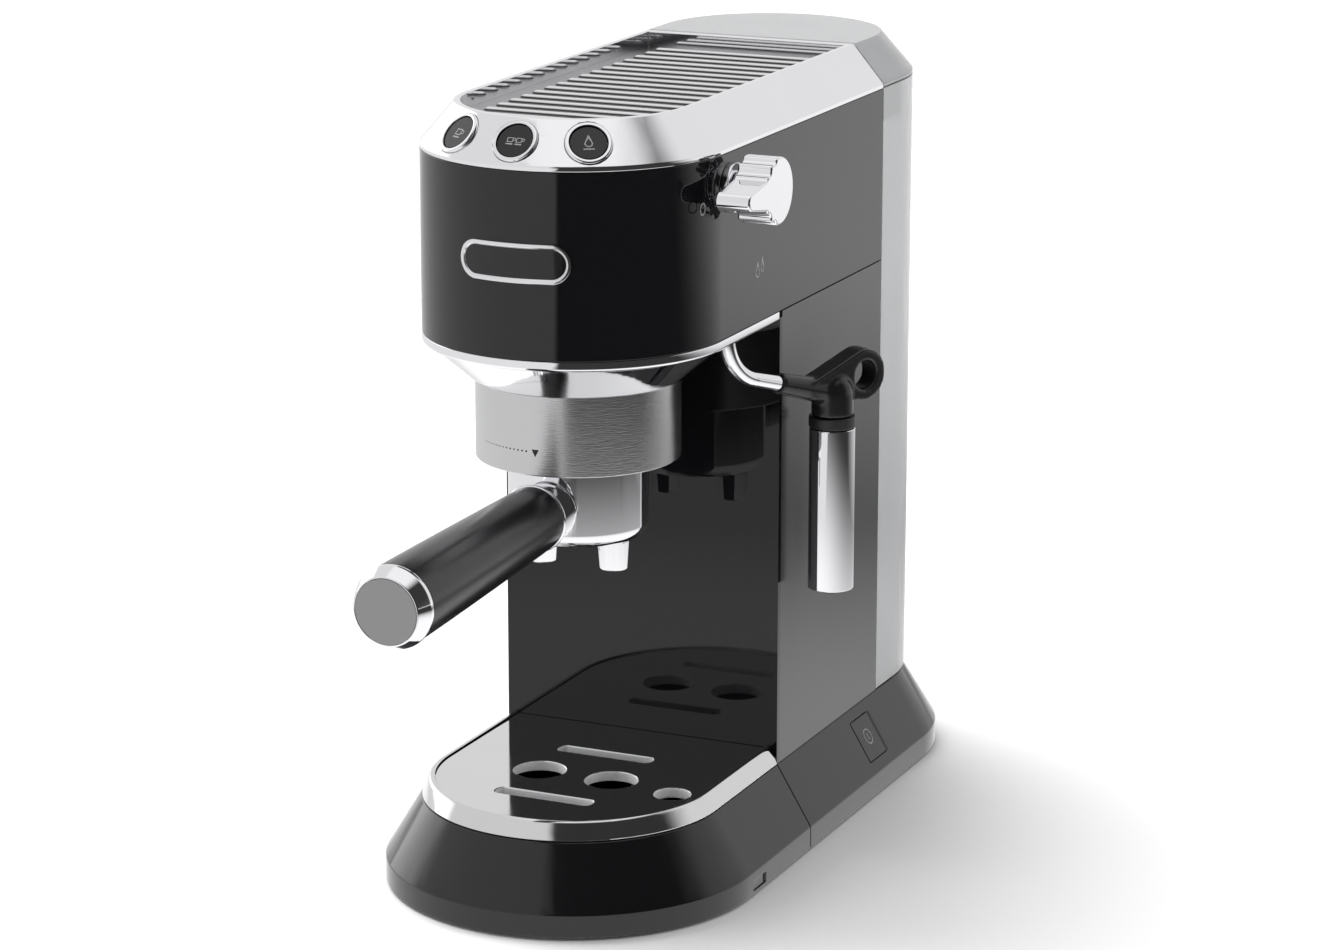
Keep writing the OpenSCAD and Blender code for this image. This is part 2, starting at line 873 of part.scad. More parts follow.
// Dished steel screen with rings of fine holes
module shower_screen() {
    color("#b4b6b9") difference() {
        translate([0, 0, screen_z]) cylinder(r1 = screen_r - screen_t, r2 = screen_r, h = screen_t);
        translate([0, 0, screen_z - cut]) cylinder(r = bolt_r + fit, h = screen_t + 2 * cut);
        for (ring = [1:3]) for (i = [0:6 * ring - 1]) rotate([0, 0, 60 * i / ring])
            translate([bolt_head_r + screen_pitch * ring, 0, screen_z - cut])
                cylinder(r = screen_hole_r, h = screen_t + 2 * cut, $fn = 16);
    }
}

module shower_screw() {
    color("#9a9ca0") {
        translate([0, 0, screen_z - bolt_head_t]) cylinder(r = bolt_head_r, h = bolt_head_t);
        translate([0, 0, screen_z]) cylinder(r = bolt_r, h = bolt_l);
    }
}

// Cup, locking lugs and neck of the filter holder, cast in one
module filter_holder() {
    cavity_r = holder_r - holder_wall;
    color("#c6c8cb") difference() {
        union() {
            translate([0, 0, holder_z]) rotate_extrude() union() {
                square([holder_r - cup_round, cup_round]);
                translate([0, cup_round]) square([holder_r, holder_top - holder_z - cup_round]);
                translate([holder_r - cup_round, cup_round]) intersection() {
                    circle(r = cup_round);
                    translate([0, -cup_round]) square([cup_round, cup_round]);
                }
            }
            for (side = [0, 180]) rotate([0, 0, side - lug_angle / 2]) translate([0, 0, lug_z])
                rotate_extrude(angle = lug_angle)
                    translate([holder_r - cut, 0]) square([lug_out + cut, lug_t]);
            on_handle(neck_in)
                cylinder(r1 = neck_in_r, r2 = grip_neck_r - neck_step, h = grip_start - neck_rim - neck_in);
            on_handle(grip_start - neck_rim) cylinder(r = grip_neck_r + rim_step, h = neck_rim);
            on_handle(neck_in) cylinder(r = core_r, h = grip_start + core_l - neck_in);
        }
        translate([0, 0, holder_z + floor_t]) cylinder(r = cavity_r, h = holder_top - holder_z);
        for (side = [-1, 1]) translate([side * spout_x, 0, holder_z - cut])
            cylinder(r = spout_bore, h = floor_t + 2 * cut);
    }
}

module coffee_spouts() {
    color("#c6c8cb") for (side = [-1, 1]) translate([side * spout_x, 0, spout_z]) difference() {
        cylinder(r1 = spout_tip_r, r2 = spout_r, h = holder_z - spout_z);
        translate([0, 0, -cut]) cylinder(r = spout_bore, h = holder_z - spout_z + 2 * cut);
    }
}

module handle_grip() {
    color("#19191b") on_handle(grip_start) difference() {
        cylinder(r1 = grip_neck_r, r2 = grip_end_r, h = ring_back - grip_start);
        translate([0, 0, -cut]) cylinder(r = core_r + fit, h = core_l + 2 * cut);
        translate([0, 0, ring_back - grip_start - spigot_l - fit])
            cylinder(r = spigot_r + fit, h = spigot_l + cut);
    }
}

module handle_ring() {
    face_l = handle_end - ring_back - ring_flat;
    color("#c9cbce") on_handle(ring_back) difference() {
        union() {
            translate([0, 0, -spigot_l]) cylinder(r = spigot_r, h = spigot_l + ring_flat / 2);
            cylinder(r = ring_out_r, h = ring_flat);
            translate([0, 0, ring_flat]) cylinder(r1 = ring_out_r, r2 = ring_face_r, h = face_l);
        }
        translate([0, 0, ring_flat + face_l - disc_t])
            cylinder(r = disc_r + fit, h = disc_t + cut);
    }
}

module handle_disc() {
    color("#939496") on_handle(handle_end - disc_t) cylinder(r = disc_r, h = disc_t);
}

// Thin steel basket with a rolled rim and a perforated floor
module filter_basket() {
    basket_r = holder_r - holder_wall - basket_gap;
    basket_z = holder_top - basket_depth;
    inner_r = basket_r - basket_wall;
    color("#b9bbbe") difference() {
        rotate_extrude() polygon([
            [0, basket_z], [basket_r - heel_in, basket_z], [basket_r, basket_z + heel_h],
            [basket_r, holder_top], [holder_r - gap, holder_top], [holder_r - gap, holder_top + basket_t],
            [inner_r, holder_top + basket_t], [inner_r, basket_z + heel_h + basket_wall],
            [inner_r - heel_in, basket_z + basket_wall], [0, basket_z + basket_wall]
        ]);
        for (ring = [1:3]) for (i = [0:6 * ring - 1]) rotate([0, 0, 60 * i / ring])
            translate([sieve_pitch * ring, 0, basket_z - cut])
                cylinder(r = sieve_r, h = basket_wall + 2 * cut, $fn = 16);
    }
}

// Wire ring that holds the basket in the holder
module basket_spring() {
    color("#aeb0b3") translate([0, 0, holder_top - spring_drop]) rotate_extrude()
        translate([holder_r - holder_wall - basket_gap / 2, 0]) circle(r = (basket_gap - fit) / 2);
}

// ---- water circuit ----

module thermoblock() {
    color("#9fa1a4") difference() {
        union() {
            translate([0, 0, casting_top]) cylinder(r = thermo_r, h = thermo_h);
            translate([0, thermo_r - 2, thermo_in_z]) rotate([-90, 0, 0])
                cylinder(r = hose_r, h = 2 * port_out + 2);
            translate([thermo_out_x, knob_y, thermo_top - cut]) cylinder(r = hose_r, h = port_out + cut);
        }
        for (z = [casting_top + fin_foot:fin_pitch:thermo_top - 2 * fin_pitch])
            translate([0, 0, z]) difference() {
                cylinder(r = thermo_r + cut, h = fin_gap);
                translate([0, 0, -cut]) cylinder(r = thermo_r - fin_depth, h = fin_gap + 2 * cut);
                translate([-fin_web / 2, 0, -cut]) cube([fin_web, thermo_r + cut, fin_gap + 2 * cut]);
            }
    }
}

module screws() {
    color("#85878a") {
        for (y = boss_ys) for (side = [-1, 1]) translate([side * boss_x, y, table_gap]) {
            cylinder(r = screw_head_r, h = screw_head_t);
            cylinder(r = screw_r - fit, h = wall + screw_l - 2);
        }
        for (i = [0:3]) rotate([0, 0, 45 + 90 * i])
            translate([thermo_r - 2 * screw_head_r, 0, thermo_top]) cylinder(r = screw_head_r, h = nut_h);
    }
}

// Vibration pump: water inlet at the foot, coil in a steel yoke, brass outlet on top
module pump() {
    neck_z = pump_l - pump_neck;
    color("#5b4a3a") translate([pump_x, pump_y, pump_z]) union() {
        cylinder(r = pump_r, h = neck_z);
        translate([-coil_w / 2, -coil_w / 2, coil_z]) cube([coil_w, coil_w, coil_h]);
        translate([0, 0, neck_z - cut]) cylinder(r = nut_r, h = nut_t, $fn = 6);
        translate([0, 0, neck_z + nut_t - 2 * cut]) cylinder(r = hose_r, h = pump_neck - nut_t + 2 * cut);
        translate([pump_r - 2, 0, pump_in_z]) rotate([0, 90, 0]) cylinder(r = hose_r, h = port_l);
    }
}

// Rubber cup under the pump and rubber ring that ties its neck to the rear panel
module pump_mounts() {
    strap_l = rear_y - wall - pump_y;
    color("#2a2a2a") {
        translate([pump_x, pump_y, base_h]) difference() {
            cylinder(r = mount_r, h = mount_h);
            translate([0, 0, pump_z - base_h]) cylinder(r = pump_r + fit, h = mount_h);
        }
        translate([pump_x, pump_y, ring_z]) difference() {
            union() {
                cylinder(r = mount_r, h = strap_h);
                translate([-strap_w / 2, pump_r + cut, 0]) cube([strap_w, strap_l - pump_r - cut, strap_h]);
            }
            translate([0, 0, -cut]) cylinder(r = pump_r + fit, h = strap_h + 2 * cut);
        }
    }
}

module flow_meter() {
    color("#d8d6cf") translate([meter_x, meter_y, base_h]) union() {
        cylinder(r = meter_r, h = meter_h);
        translate([0, 0, meter_h - cut]) cylinder(r = hose_r, h = port_l + cut);
        translate([0, meter_r - 2, meter_in_z]) rotate([-90, 0, 0]) cylinder(r = hose_r, h = port_l);
    }
}

// Three-way valve on the heater, with its coil
module brew_valve() {
    color("#4d4f52") translate([brew_x, brew_y, thermo_top]) union() {
        translate([-brew_foot / 2, -brew_foot / 2, 0]) cube([brew_foot, brew_foot, brew_foot_t]);
        translate([0, 0, brew_foot_t - cut]) cylinder(r = brew_coil_r, h = brew_coil_h);
    }
}

// Needle valve that the steam knob opens
module steam_valve() {
    color("#a8834a") difference() {
        union() {
            translate([valve_x, knob_y - valve_d / 2, steam_low]) cube([valve_w, valve_d, valve_h]);
            translate([valve_x + port_l, knob_y, thermo_top])
                cylinder(r = steam_post_r, h = steam_low + cut - thermo_top);
            translate([steam_out_x, steam_out_y, steam_low - port_l + cut]) cylinder(r = hose_r, h = port_l);
            translate([valve_x + cut, knob_y, steam_in_z]) rotate([0, -90, 0])
                cylinder(r = hose_r, h = port_l);
        }
        translate([knob_x + knob_t / 2 - spindle_l - fit, knob_y, knob_z]) rotate([0, 90, 0])
            cylinder(r = spindle_r + fit, h = spindle_l);
    }
}

// Silicone hoses: tank to flow meter, meter to pump, pump to heater, heater to steam valve, valve to wand
module hoses() {
    cup_z = deck_z - cup_drop - nipple_l;
    low_z = cup_z - port_l;
    hatch_mid = hatch_y + hatch_d / 2;
    meter_port = [meter_x, meter_y + meter_r + port_out, base_h + meter_in_z];
    meter_out = [meter_x, meter_y, base_h + meter_h + port_l];
    pump_in = [pump_x + pump_r + port_out, pump_y, pump_z + pump_in_z];
    pump_out = [pump_x, pump_y, pump_z + pump_l];
    heater_in = [0, thermo_r + 2 * port_out, thermo_in_z];
    heater_out = [thermo_out_x, knob_y, thermo_top + port_out];
    valve_in = [valve_x + cut - port_l, knob_y, steam_in_z];
    valve_out = [steam_out_x, steam_out_y, steam_low - port_l + cut];
    color("#e4e2dc") {
        hose([
            [0, outlet_at, cup_z], [0, outlet_at, low_z], [0, hatch_mid, low_z],
            [0, hatch_mid, meter_port[2]], [meter_x, hatch_mid, meter_port[2]], meter_port
        ]);
        hose([meter_out, [meter_x, meter_y, pump_in[2]], pump_in]);
        hose([
            pump_out, [pump_x, pump_y, heater_in[2]],
            [0, heater_in[1] + 20, heater_in[2]], heater_in
        ]);
        hose([heater_out, [thermo_out_x, knob_y, valve_in[2]], valve_in]);
        hose([
            valve_out, [valve_out[0], valve_out[1], socket_top + 12],
            [swivel_x, swivel_y, socket_top + 7], [swivel_x, swivel_y, socket_top]
        ]);
    }
}

// Seat under the deck that the tank's outlet plugs into, with the pin that lifts the tank's valve
module tank_coupling() {
    cup_r = outlet_r + cup_fit + cup_wall;
    color("#26262a") translate([0, outlet_at, deck_z - cup_drop]) union() {
        difference() {
            cylinder(r = cup_r, h = cup_drop);
            translate([0, 0, cup_base_t]) cylinder(r = outlet_r + cup_fit, h = cup_drop);
            for (i = [0:3]) rotate([0, 0, 90 * i]) translate([2 * pin_r, 0, -cut])
                cylinder(r = port_r, h = cup_base_t + 2 * cut);
        }
        cylinder(r = pin_r, h = tank_z - valve_stem_l - gap - deck_z + cup_drop);
        translate([0, 0, -nipple_l]) tube(hose_r, pin_r, nipple_l);
    }
}

module control_board() {
    standoff_l = board_x + half - wall;
    color("#2f6b45") translate([board_x, board_y, board_z]) union() {
        cube([board_t, board_d, board_h]);
        for (y = [board_hole, board_d - board_hole]) for (z = [board_hole, board_h - board_hole])
            translate([-standoff_l, y, z]) rotate([0, 90, 0]) cylinder(r = standoff_r, h = standoff_l);
        translate([board_t, 10, 12]) cube([18, 26, 22]);
        translate([board_t, 48, 20]) rotate([0, 90, 0]) cylinder(r = 7, h = 16);
        translate([board_t, 12, 46]) cube([12, 14, 16]);
        translate([board_t, 36, 50]) cube([3, 22, 22]);
        translate([board_t, 8, 74]) cube([9, 40, 8]);
    }
}

// ---- controls and fittings ----

module knob_escutcheon() {
    color("#bfc1c4") translate([half, knob_y, knob_z]) rotate([0, 90, 0])
        tube(bezel_r, spindle_r + spindle_room, bezel_t);
}

// Steam knob: a round body with finger flutes and a pointer
module steam_knob() {
    color("#c4c6c9") difference() {
        union() {
            translate([knob_x, knob_y, knob_z]) rotate([90, 0, 90]) linear_extrude(height = knob_t)
                difference() {
                    union() {
                        circle(r = knob_r);
                        hull() {
                            circle(r = pointer_root_r, $fn = 32);
                            translate([-pointer_l + tip_r, 0]) circle(r = tip_r, $fn = 32);
                        }
                    }
                    for (turn = flute_turns) rotate(turn)
                        translate([knob_r + flute_out, 0]) circle(r = flute_r);
                }
            translate([half + bezel_t + gap, knob_y, knob_z]) rotate([0, 90, 0])
                cylinder(r = hub_r, h = knob_gap - bezel_t - gap + 1);
        }
        translate([half, knob_y, knob_z]) rotate([0, 90, 0])
            cylinder(r = spindle_r + fit / 2, h = knob_gap + knob_t / 2);
    }
}

module knob_spindle() {
    color("#9a9ca0") translate([knob_x + knob_t / 2 - spindle_l, knob_y, knob_z]) rotate([0, 90, 0])
        cylinder(r = spindle_r, h = spindle_l);
}

// Hinge pin of the power flap, past both its sides
module flap_pin(r, out) {
    translate([-out, flap_w - flap_pin_in, -flap_t / 2]) rotate([0, 90, 0])
        cylinder(r = r, h = flap_w + 2 * out);
}

module power_flap() {
    color("#1b1b1d") on_slope(flap_down, panel_y + flap_y) {
        translate([0, 0, -flap_t]) cube([flap_w, flap_w, flap_t]);
        translate([flap_w / 2, 2 * flap_post_r, -flap_t - flap_post])
            cylinder(r = flap_post_r, h = flap_post);
        flap_pin(flap_pin_r, flap_pin_l);
    }
}

// Mains switch behind the flap, on a pedestal from the base plate
module power_switch() {
    color("#3c3c40") union() {
        on_slope(flap_down, panel_y + flap_y)
            translate([3, -1, -flap_t - flap_post - switch_gap - switch_w]) cube([12, switch_w, switch_w]);
        translate([boss_x - 13, panel_y + flap_y - 1, plate_under]) cube([10, switch_w, switch_w]);
    }
}

module cable_inlet() {
    color("#2a2a2a") translate([0, base_end, inlet_z]) rotate([90, 0, 0]) difference() {
        union() {
            cylinder(r = inlet_r - fit, h = wall);
            translate([0, 0, wall]) cylinder(r = inlet_flange_r, h = inlet_flange_t);
        }
        translate([0, 0, -cut]) cylinder(r = inlet_bore, h = 3 * wall);
    }
}

// ---- steam wand ----

module wand_socket() {
    color("#b0b2b5") translate([swivel_x, swivel_y, 0]) difference() {
        union() {
            translate([0, 0, socket_z]) cylinder(r = socket_flange_r, h = floor_z - socket_z);
            translate([0, 0, socket_z]) cylinder(r = socket_body_r, h = socket_top - socket_z);
        }
        translate([0, 0, socket_z - cut]) cylinder(r = pipe_r + fit, h = socket_top - socket_z - 2);
        translate([0, 0, socket_z]) cylinder(r = pin_r, h = socket_top);
    }
}

// Bent chrome pipe: upright in the swivel, then out along the wand's reach
module wand_pipe() {
    tail = (wand_reach - bend_t) / cos(pipe_slope) - arm_core;
    color("#c6c8cb") on_wand() {
        translate([0, 0, socket_z - gap]) cylinder(r = pipe_r, h = socket_top - 4 - socket_z);
        translate([0, bend_r, socket_z - gap]) rotate([90, 0, 90]) rotate([0, 0, 180])
            rotate_extrude(angle = bend_turn) translate([bend_r, 0]) circle(r = pipe_r);
        translate([0, bend_t, bend_end_z]) rotate([-90 - pipe_slope, 0, 0]) cylinder(r = pipe_r, h = tail);
        translate([0, 0, socket_z - gap]) sphere(r = pipe_r + bead);
        translate([0, bend_t, bend_end_z]) sphere(r = pipe_r + bead);
    }
}

// Cool-touch grip: sloping arm, upright body and a thumb loop
module wand_grip() {
    color("#222224") on_wand() translate([0, wand_reach, arm_z]) difference() {
        union() {
            rotate([90 - pipe_slope, 0, 0]) cylinder(r1 = arm_root_r, r2 = arm_r, h = arm_l);
            translate([0, 0, -grip_h]) cylinder(r = grip_r, h = grip_h);
            sphere(r = grip_r);
            rotate([90, 0, 90]) translate([0, 0, -loop_w / 2]) linear_extrude(height = loop_w) hull() {
                translate([loop_t, loop_rise]) circle(r = loop_r, $fn = 48);
                translate([arm_low_y, arm_low_z]) circle(r = arm_low_r, $fn = 32);
            }
        }
        rotate([90 - pipe_slope, 0, 0]) translate([0, 0, arm_core - fit])
            cylinder(r = pipe_r + fit / 2, h = arm_l);
        translate([0, loop_t, loop_rise]) rotate([0, 90, 0])
            cylinder(r = loop_hole, h = 4 * loop_w, center = true);
        translate([0, 0, -grip_h - cut]) cylinder(r = nozzle_r + fit / 2, h = nozzle_plug + cut);
    }
}

module frother_ring() {
    color("#141415") on_wand() translate([0, wand_reach, grip_bottom - selector_h])
        tube(sleeve_r + rim_out, nozzle_r + fit, selector_h);
}

module steam_nozzle() {
    color("#1c1c1e") on_wand() translate([0, wand_reach, sleeve_z - nozzle_out])
        tube(nozzle_r, nozzle_bore, grip_bottom + nozzle_plug - sleeve_z + nozzle_out);
}

module frother_sleeve() {
    color("#c9cbce") on_wand() translate([0, wand_reach, sleeve_z]) difference() {
        cylinder(r = sleeve_r, h = sleeve_l);
        translate([0, 0, -cut]) cylinder(r = sleeve_r - sleeve_wall, h = sleeve_l - sleeve_cap + cut);
        cylinder(r = nozzle_r + fit, h = sleeve_l + cut);
    }
}

// ---- water tank ----

module water_tank() {
    color("#c8ccd0", 0.45) difference() {
        union() {
            backed(slab(half, tank_z, tank_top), tank_y, tank_arc);
            translate([0, outlet_at, tank_z - outlet_drop]) cylinder(r = outlet_r, h = outlet_drop + 1);
        }
        backed(slab(half - tank_wall, tank_z + tank_floor, tank_top + cut), tank_y + tank_wall, tank_arc);
        translate([0, outlet_at, tank_z - outlet_drop - cut])
            cylinder(r = outlet_bore, h = outlet_drop + tank_floor + 2 * cut);
    }
}

// Poppet over the tank's outlet, held up by the coupling's pin
module tank_valve() {
    disc_z = tank_z + tank_floor + valve_lift;
    color("#2b2b2f") translate([0, outlet_at, 0]) {
        translate([0, 0, disc_z]) cylinder(r = outlet_bore + 2, h = valve_t);
        translate([0, 0, tank_z - valve_stem_l])
            cylinder(r = valve_stem_r, h = disc_z - tank_z + valve_stem_l + valve_t / 2);
    }
}

module tank_filter() {
    color("#dcdcd8") translate([0, outlet_at, tank_z + tank_floor]) difference() {
        cylinder(r = filter_r, h = filter_h);
        translate([0, 0, -cut]) cylinder(r = filter_r - filter_wall, h = filter_h - filter_wall + cut);
        for (i = [0:7]) rotate([0, 0, 45 * i]) translate([filter_r / 2, -filter_gap / 2, filter_gap])
            cube([filter_r, filter_gap, filter_h - 2 * filter_gap - cut]);
    }
}

// Dark bracket in the tank's front edge that carries the lid's hinge
module lid_bracket() {
    inner = half - tank_wall;
    front = tank_y + tank_wall;
    color("#2a2b2e") union() {
        translate([-inner, front, tank_top - bracket_h]) cube([2 * inner, bracket_t, bracket_h]);
        for (side = [0, 1]) mirror([side, 0, 0]) {
            translate([inner - bracket_t, front, tank_top - tab_h]) cube([bracket_t, tab_d, tab_h]);
            translate([ear_x, front, tank_top - bracket_h])
                cube([ear_w, bracket_t + gap, hinge_z - tank_top + bracket_h]);
            translate([ear_x, hinge_y, hinge_z]) rotate([0, 90, 0]) cylinder(r = ear_r, h = ear_w);
            translate([ear_x - cheek_w, hinge_y, hinge_z]) rotate([0, 90, 0])
                cylinder(r = hinge_pin_r, h = cheek_w + cut);
        }
    }
}

// Smoky lid that carries on the crown's chamfer round the back
module tank_lid() {
    lid_z = tank_top + lid_gap;
    color("#8d8f93", 0.6) difference() {
        union() {
            difference() {
                backed(crown_outline(0, lid_z, crown_top), tank_y, tank_arc);
                backed(crown_outline(lid_wall, lid_z - cut, crown_top - lid_wall), tank_y - cut, tank_arc);
            }
            for (side = [0, 1]) mirror([side, 0, 0])
                translate([ear_x - cheek_gap - cheek_w, hinge_y, hinge_z]) {
                    rotate([0, 90, 0]) cylinder(r = cheek_r, h = cheek_w);
                    translate([0, -cheek_r / 2, 0])
                        cube([cheek_w, 2 * cheek_r, crown_top - lid_wall / 2 - hinge_z]);
                }
        }
        translate([-half, tank_y - cut, hinge_z]) difference() {
            cube([body_w, hinge_y - tank_y + cut, hinge_r + cut]);
            translate([-cut, hinge_y - tank_y + cut, 0]) rotate([0, 90, 0])
                cylinder(r = hinge_r, h = body_w + 2 * cut);
        }
        for (side = [0, 1]) mirror([side, 0, 0]) {
            translate([ear_x - cheek_gap, hinge_y, hinge_z]) rotate([0, 90, 0])
                cylinder(r = ear_r + gap, h = ear_w + 2 * cheek_gap);
            translate([ear_x - cheek_w - 2 * cheek_gap, hinge_y, hinge_z]) rotate([0, 90, 0])
                cylinder(r = hinge_pin_r + fit, h = cheek_w + 2 * cheek_gap);
        }
    }
}

// ---- drip tray ----

module drip_tray() {
    color("#151517") difference() {
        union() {
            difference() {
                nosed(base_half(0, table_gap, base_h), -nose_fwd, tray_back);
                nosed(base_half(tray_wall, tray_floor, base_h + cut), -nose_fwd, tray_back - tray_wall);
            }
            translate([float_x, float_y, tray_floor - cut]) cylinder(r = peg_r, h = peg_h + cut);
        }
        nosed(slab(base_r - tray_wall, table_gap - cut, tray_under), -nose_fwd, tray_back + cut);
        for (side = [0, 1]) mirror([side, 0, 0])
            translate([base_r - notch_t, notch_y, notch_z]) cube([notch_t + cut, notch_l, notch_h]);
    }
}

// Polished plate with a sloped rim, rolled drain holes and two slots
module drip_grate() {
    lip_r = base_top_r - rim_slope - rim_edge;
    in_r = lip_r - step_in;
    bed = plate_top - step_down;
    under = bed - plate_t;
    color("#b5b7ba") difference() {
        union() {
            nosed([
                [0, under], [in_r, under], [in_r + 0.5, plate_top - plate_t],
                [lip_r - 0.4, plate_top - plate_t], [lip_r + rim_edge - plate_t, plate_top - rim_edge - 0.5],
                [base_top_r - plate_t, base_h + gap],
                [base_top_r, base_h + gap], [lip_r + rim_edge, plate_top - rim_edge], [lip_r, plate_top],
                [in_r, plate_top], [in_r - 0.4, bed], [0, bed]
            ], -nose_fwd, tray_back);
            for (side = [-1, 1]) {
                translate([side * drain_x, -nose_fwd, under - roll_h])
                    cylinder(r = drain_r + roll_t, h = roll_h + plate_t / 2);
                translate([0, -nose_fwd + side * slot_y, under - roll_h])
                    linear_extrude(height = roll_h + plate_t / 2)
                        stadium(slot_l + 2 * roll_t, slot_w + 2 * roll_t);
            }
            translate([float_x, float_y, under - roll_h])
                cylinder(r = float_r + roll_t, h = roll_h + plate_t / 2);
        }
        for (side = [-1, 1]) {
            translate([side * drain_x, -nose_fwd, under - roll_h - cut]) cylinder(r = drain_r, h = plate_top);
            translate([0, -nose_fwd + side * slot_y, under - roll_h - cut])
                linear_extrude(height = plate_top) stadium(slot_l, slot_w);
        }
        translate([float_x, float_y, under - roll_h - cut]) cylinder(r = float_r, h = plate_top);
    }
}

// Float that shows when the tray is full
module tray_float() {
    low = tray_floor + gap;
    top = plate_top - step_down - float_drop;
    color("#2a2a2c") translate([float_x, float_y, 0]) difference() {
        union() {
            translate([0, 0, low]) cylinder(r = float_body_r, h = float_body_h);
            translate([0, 0, low]) cylinder(r = float_stem_r, h = top - low);
            translate([0, 0, top - float_cap_t]) cylinder(r = float_r - float_play, h = float_cap_t);
        }
        translate([0, 0, low - cut]) cylinder(r = peg_r + gap, h = peg_h + 2 * cut);
    }
}

base_shell();
base_plate();
rubber_feet();
front_panel();
side_panel_left();
side_panel_right();
rear_panel();
head_shell();
head_floor();
head_trim();
top_bezel();
cup_warmer();
button_rings();
group_collar();
group_casting();
bayonet_ring();
group_gasket();
shower_screen();
shower_screw();
thermoblock();
screws();
pump();
pump_mounts();
flow_meter();
brew_valve();
steam_valve();
control_board();
button_board();
hoses();
tank_coupling();
knob_escutcheon();
wand_socket();
power_switch();
cable_inlet();
button_one_cup();
button_two_cup();
button_steam();
power_flap();
steam_knob();
knob_spindle();
wand_pipe();
wand_grip();
frother_ring();
steam_nozzle();
frother_sleeve();
water_tank();
tank_valve();
tank_filter();
lid_bracket();
tank_lid();
drip_tray();
drip_grate();
tray_float();
filter_holder();
coffee_spouts();
handle_grip();
handle_ring();
handle_disc();
filter_basket();
basket_spring();
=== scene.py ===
"""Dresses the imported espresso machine: finishes, finely modelled pieces, studio and camera."""

import json
import logging
import math
from dataclasses import dataclass
from enum import Enum
from typing import Callable, Sequence

import bpy
from mathutils import Matrix, Vector

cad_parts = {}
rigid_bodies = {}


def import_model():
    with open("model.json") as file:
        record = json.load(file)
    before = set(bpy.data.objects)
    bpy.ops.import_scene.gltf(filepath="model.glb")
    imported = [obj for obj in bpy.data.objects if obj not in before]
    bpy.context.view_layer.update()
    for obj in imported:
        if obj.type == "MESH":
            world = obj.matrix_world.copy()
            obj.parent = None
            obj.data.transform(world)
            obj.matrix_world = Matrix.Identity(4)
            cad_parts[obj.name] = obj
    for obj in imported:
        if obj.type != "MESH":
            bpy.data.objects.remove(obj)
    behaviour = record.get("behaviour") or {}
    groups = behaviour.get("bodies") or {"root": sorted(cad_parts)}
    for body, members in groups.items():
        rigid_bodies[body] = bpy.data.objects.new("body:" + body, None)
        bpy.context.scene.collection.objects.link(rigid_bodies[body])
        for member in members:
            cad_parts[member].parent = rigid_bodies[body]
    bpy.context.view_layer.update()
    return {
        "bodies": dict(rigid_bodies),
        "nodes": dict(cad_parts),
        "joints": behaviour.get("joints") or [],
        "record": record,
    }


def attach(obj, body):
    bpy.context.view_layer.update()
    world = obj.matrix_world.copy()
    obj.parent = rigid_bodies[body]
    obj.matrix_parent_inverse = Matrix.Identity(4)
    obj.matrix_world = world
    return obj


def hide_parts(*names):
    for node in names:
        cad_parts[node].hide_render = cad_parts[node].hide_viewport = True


LOG = logging.getLogger("espresso_machine")
MM = 0.001
Colour = tuple[float, float, float]
Triple = tuple[float, float, float]
Ramp = tuple[float, float, float, float]


class Brushing(Enum):
    """Which way the fine lines of a brushed metal run."""

    NONE = "none"
    ACROSS = "across"
    UPRIGHT = "upright"
    ROUND = "round"


# ---- shader groups ----


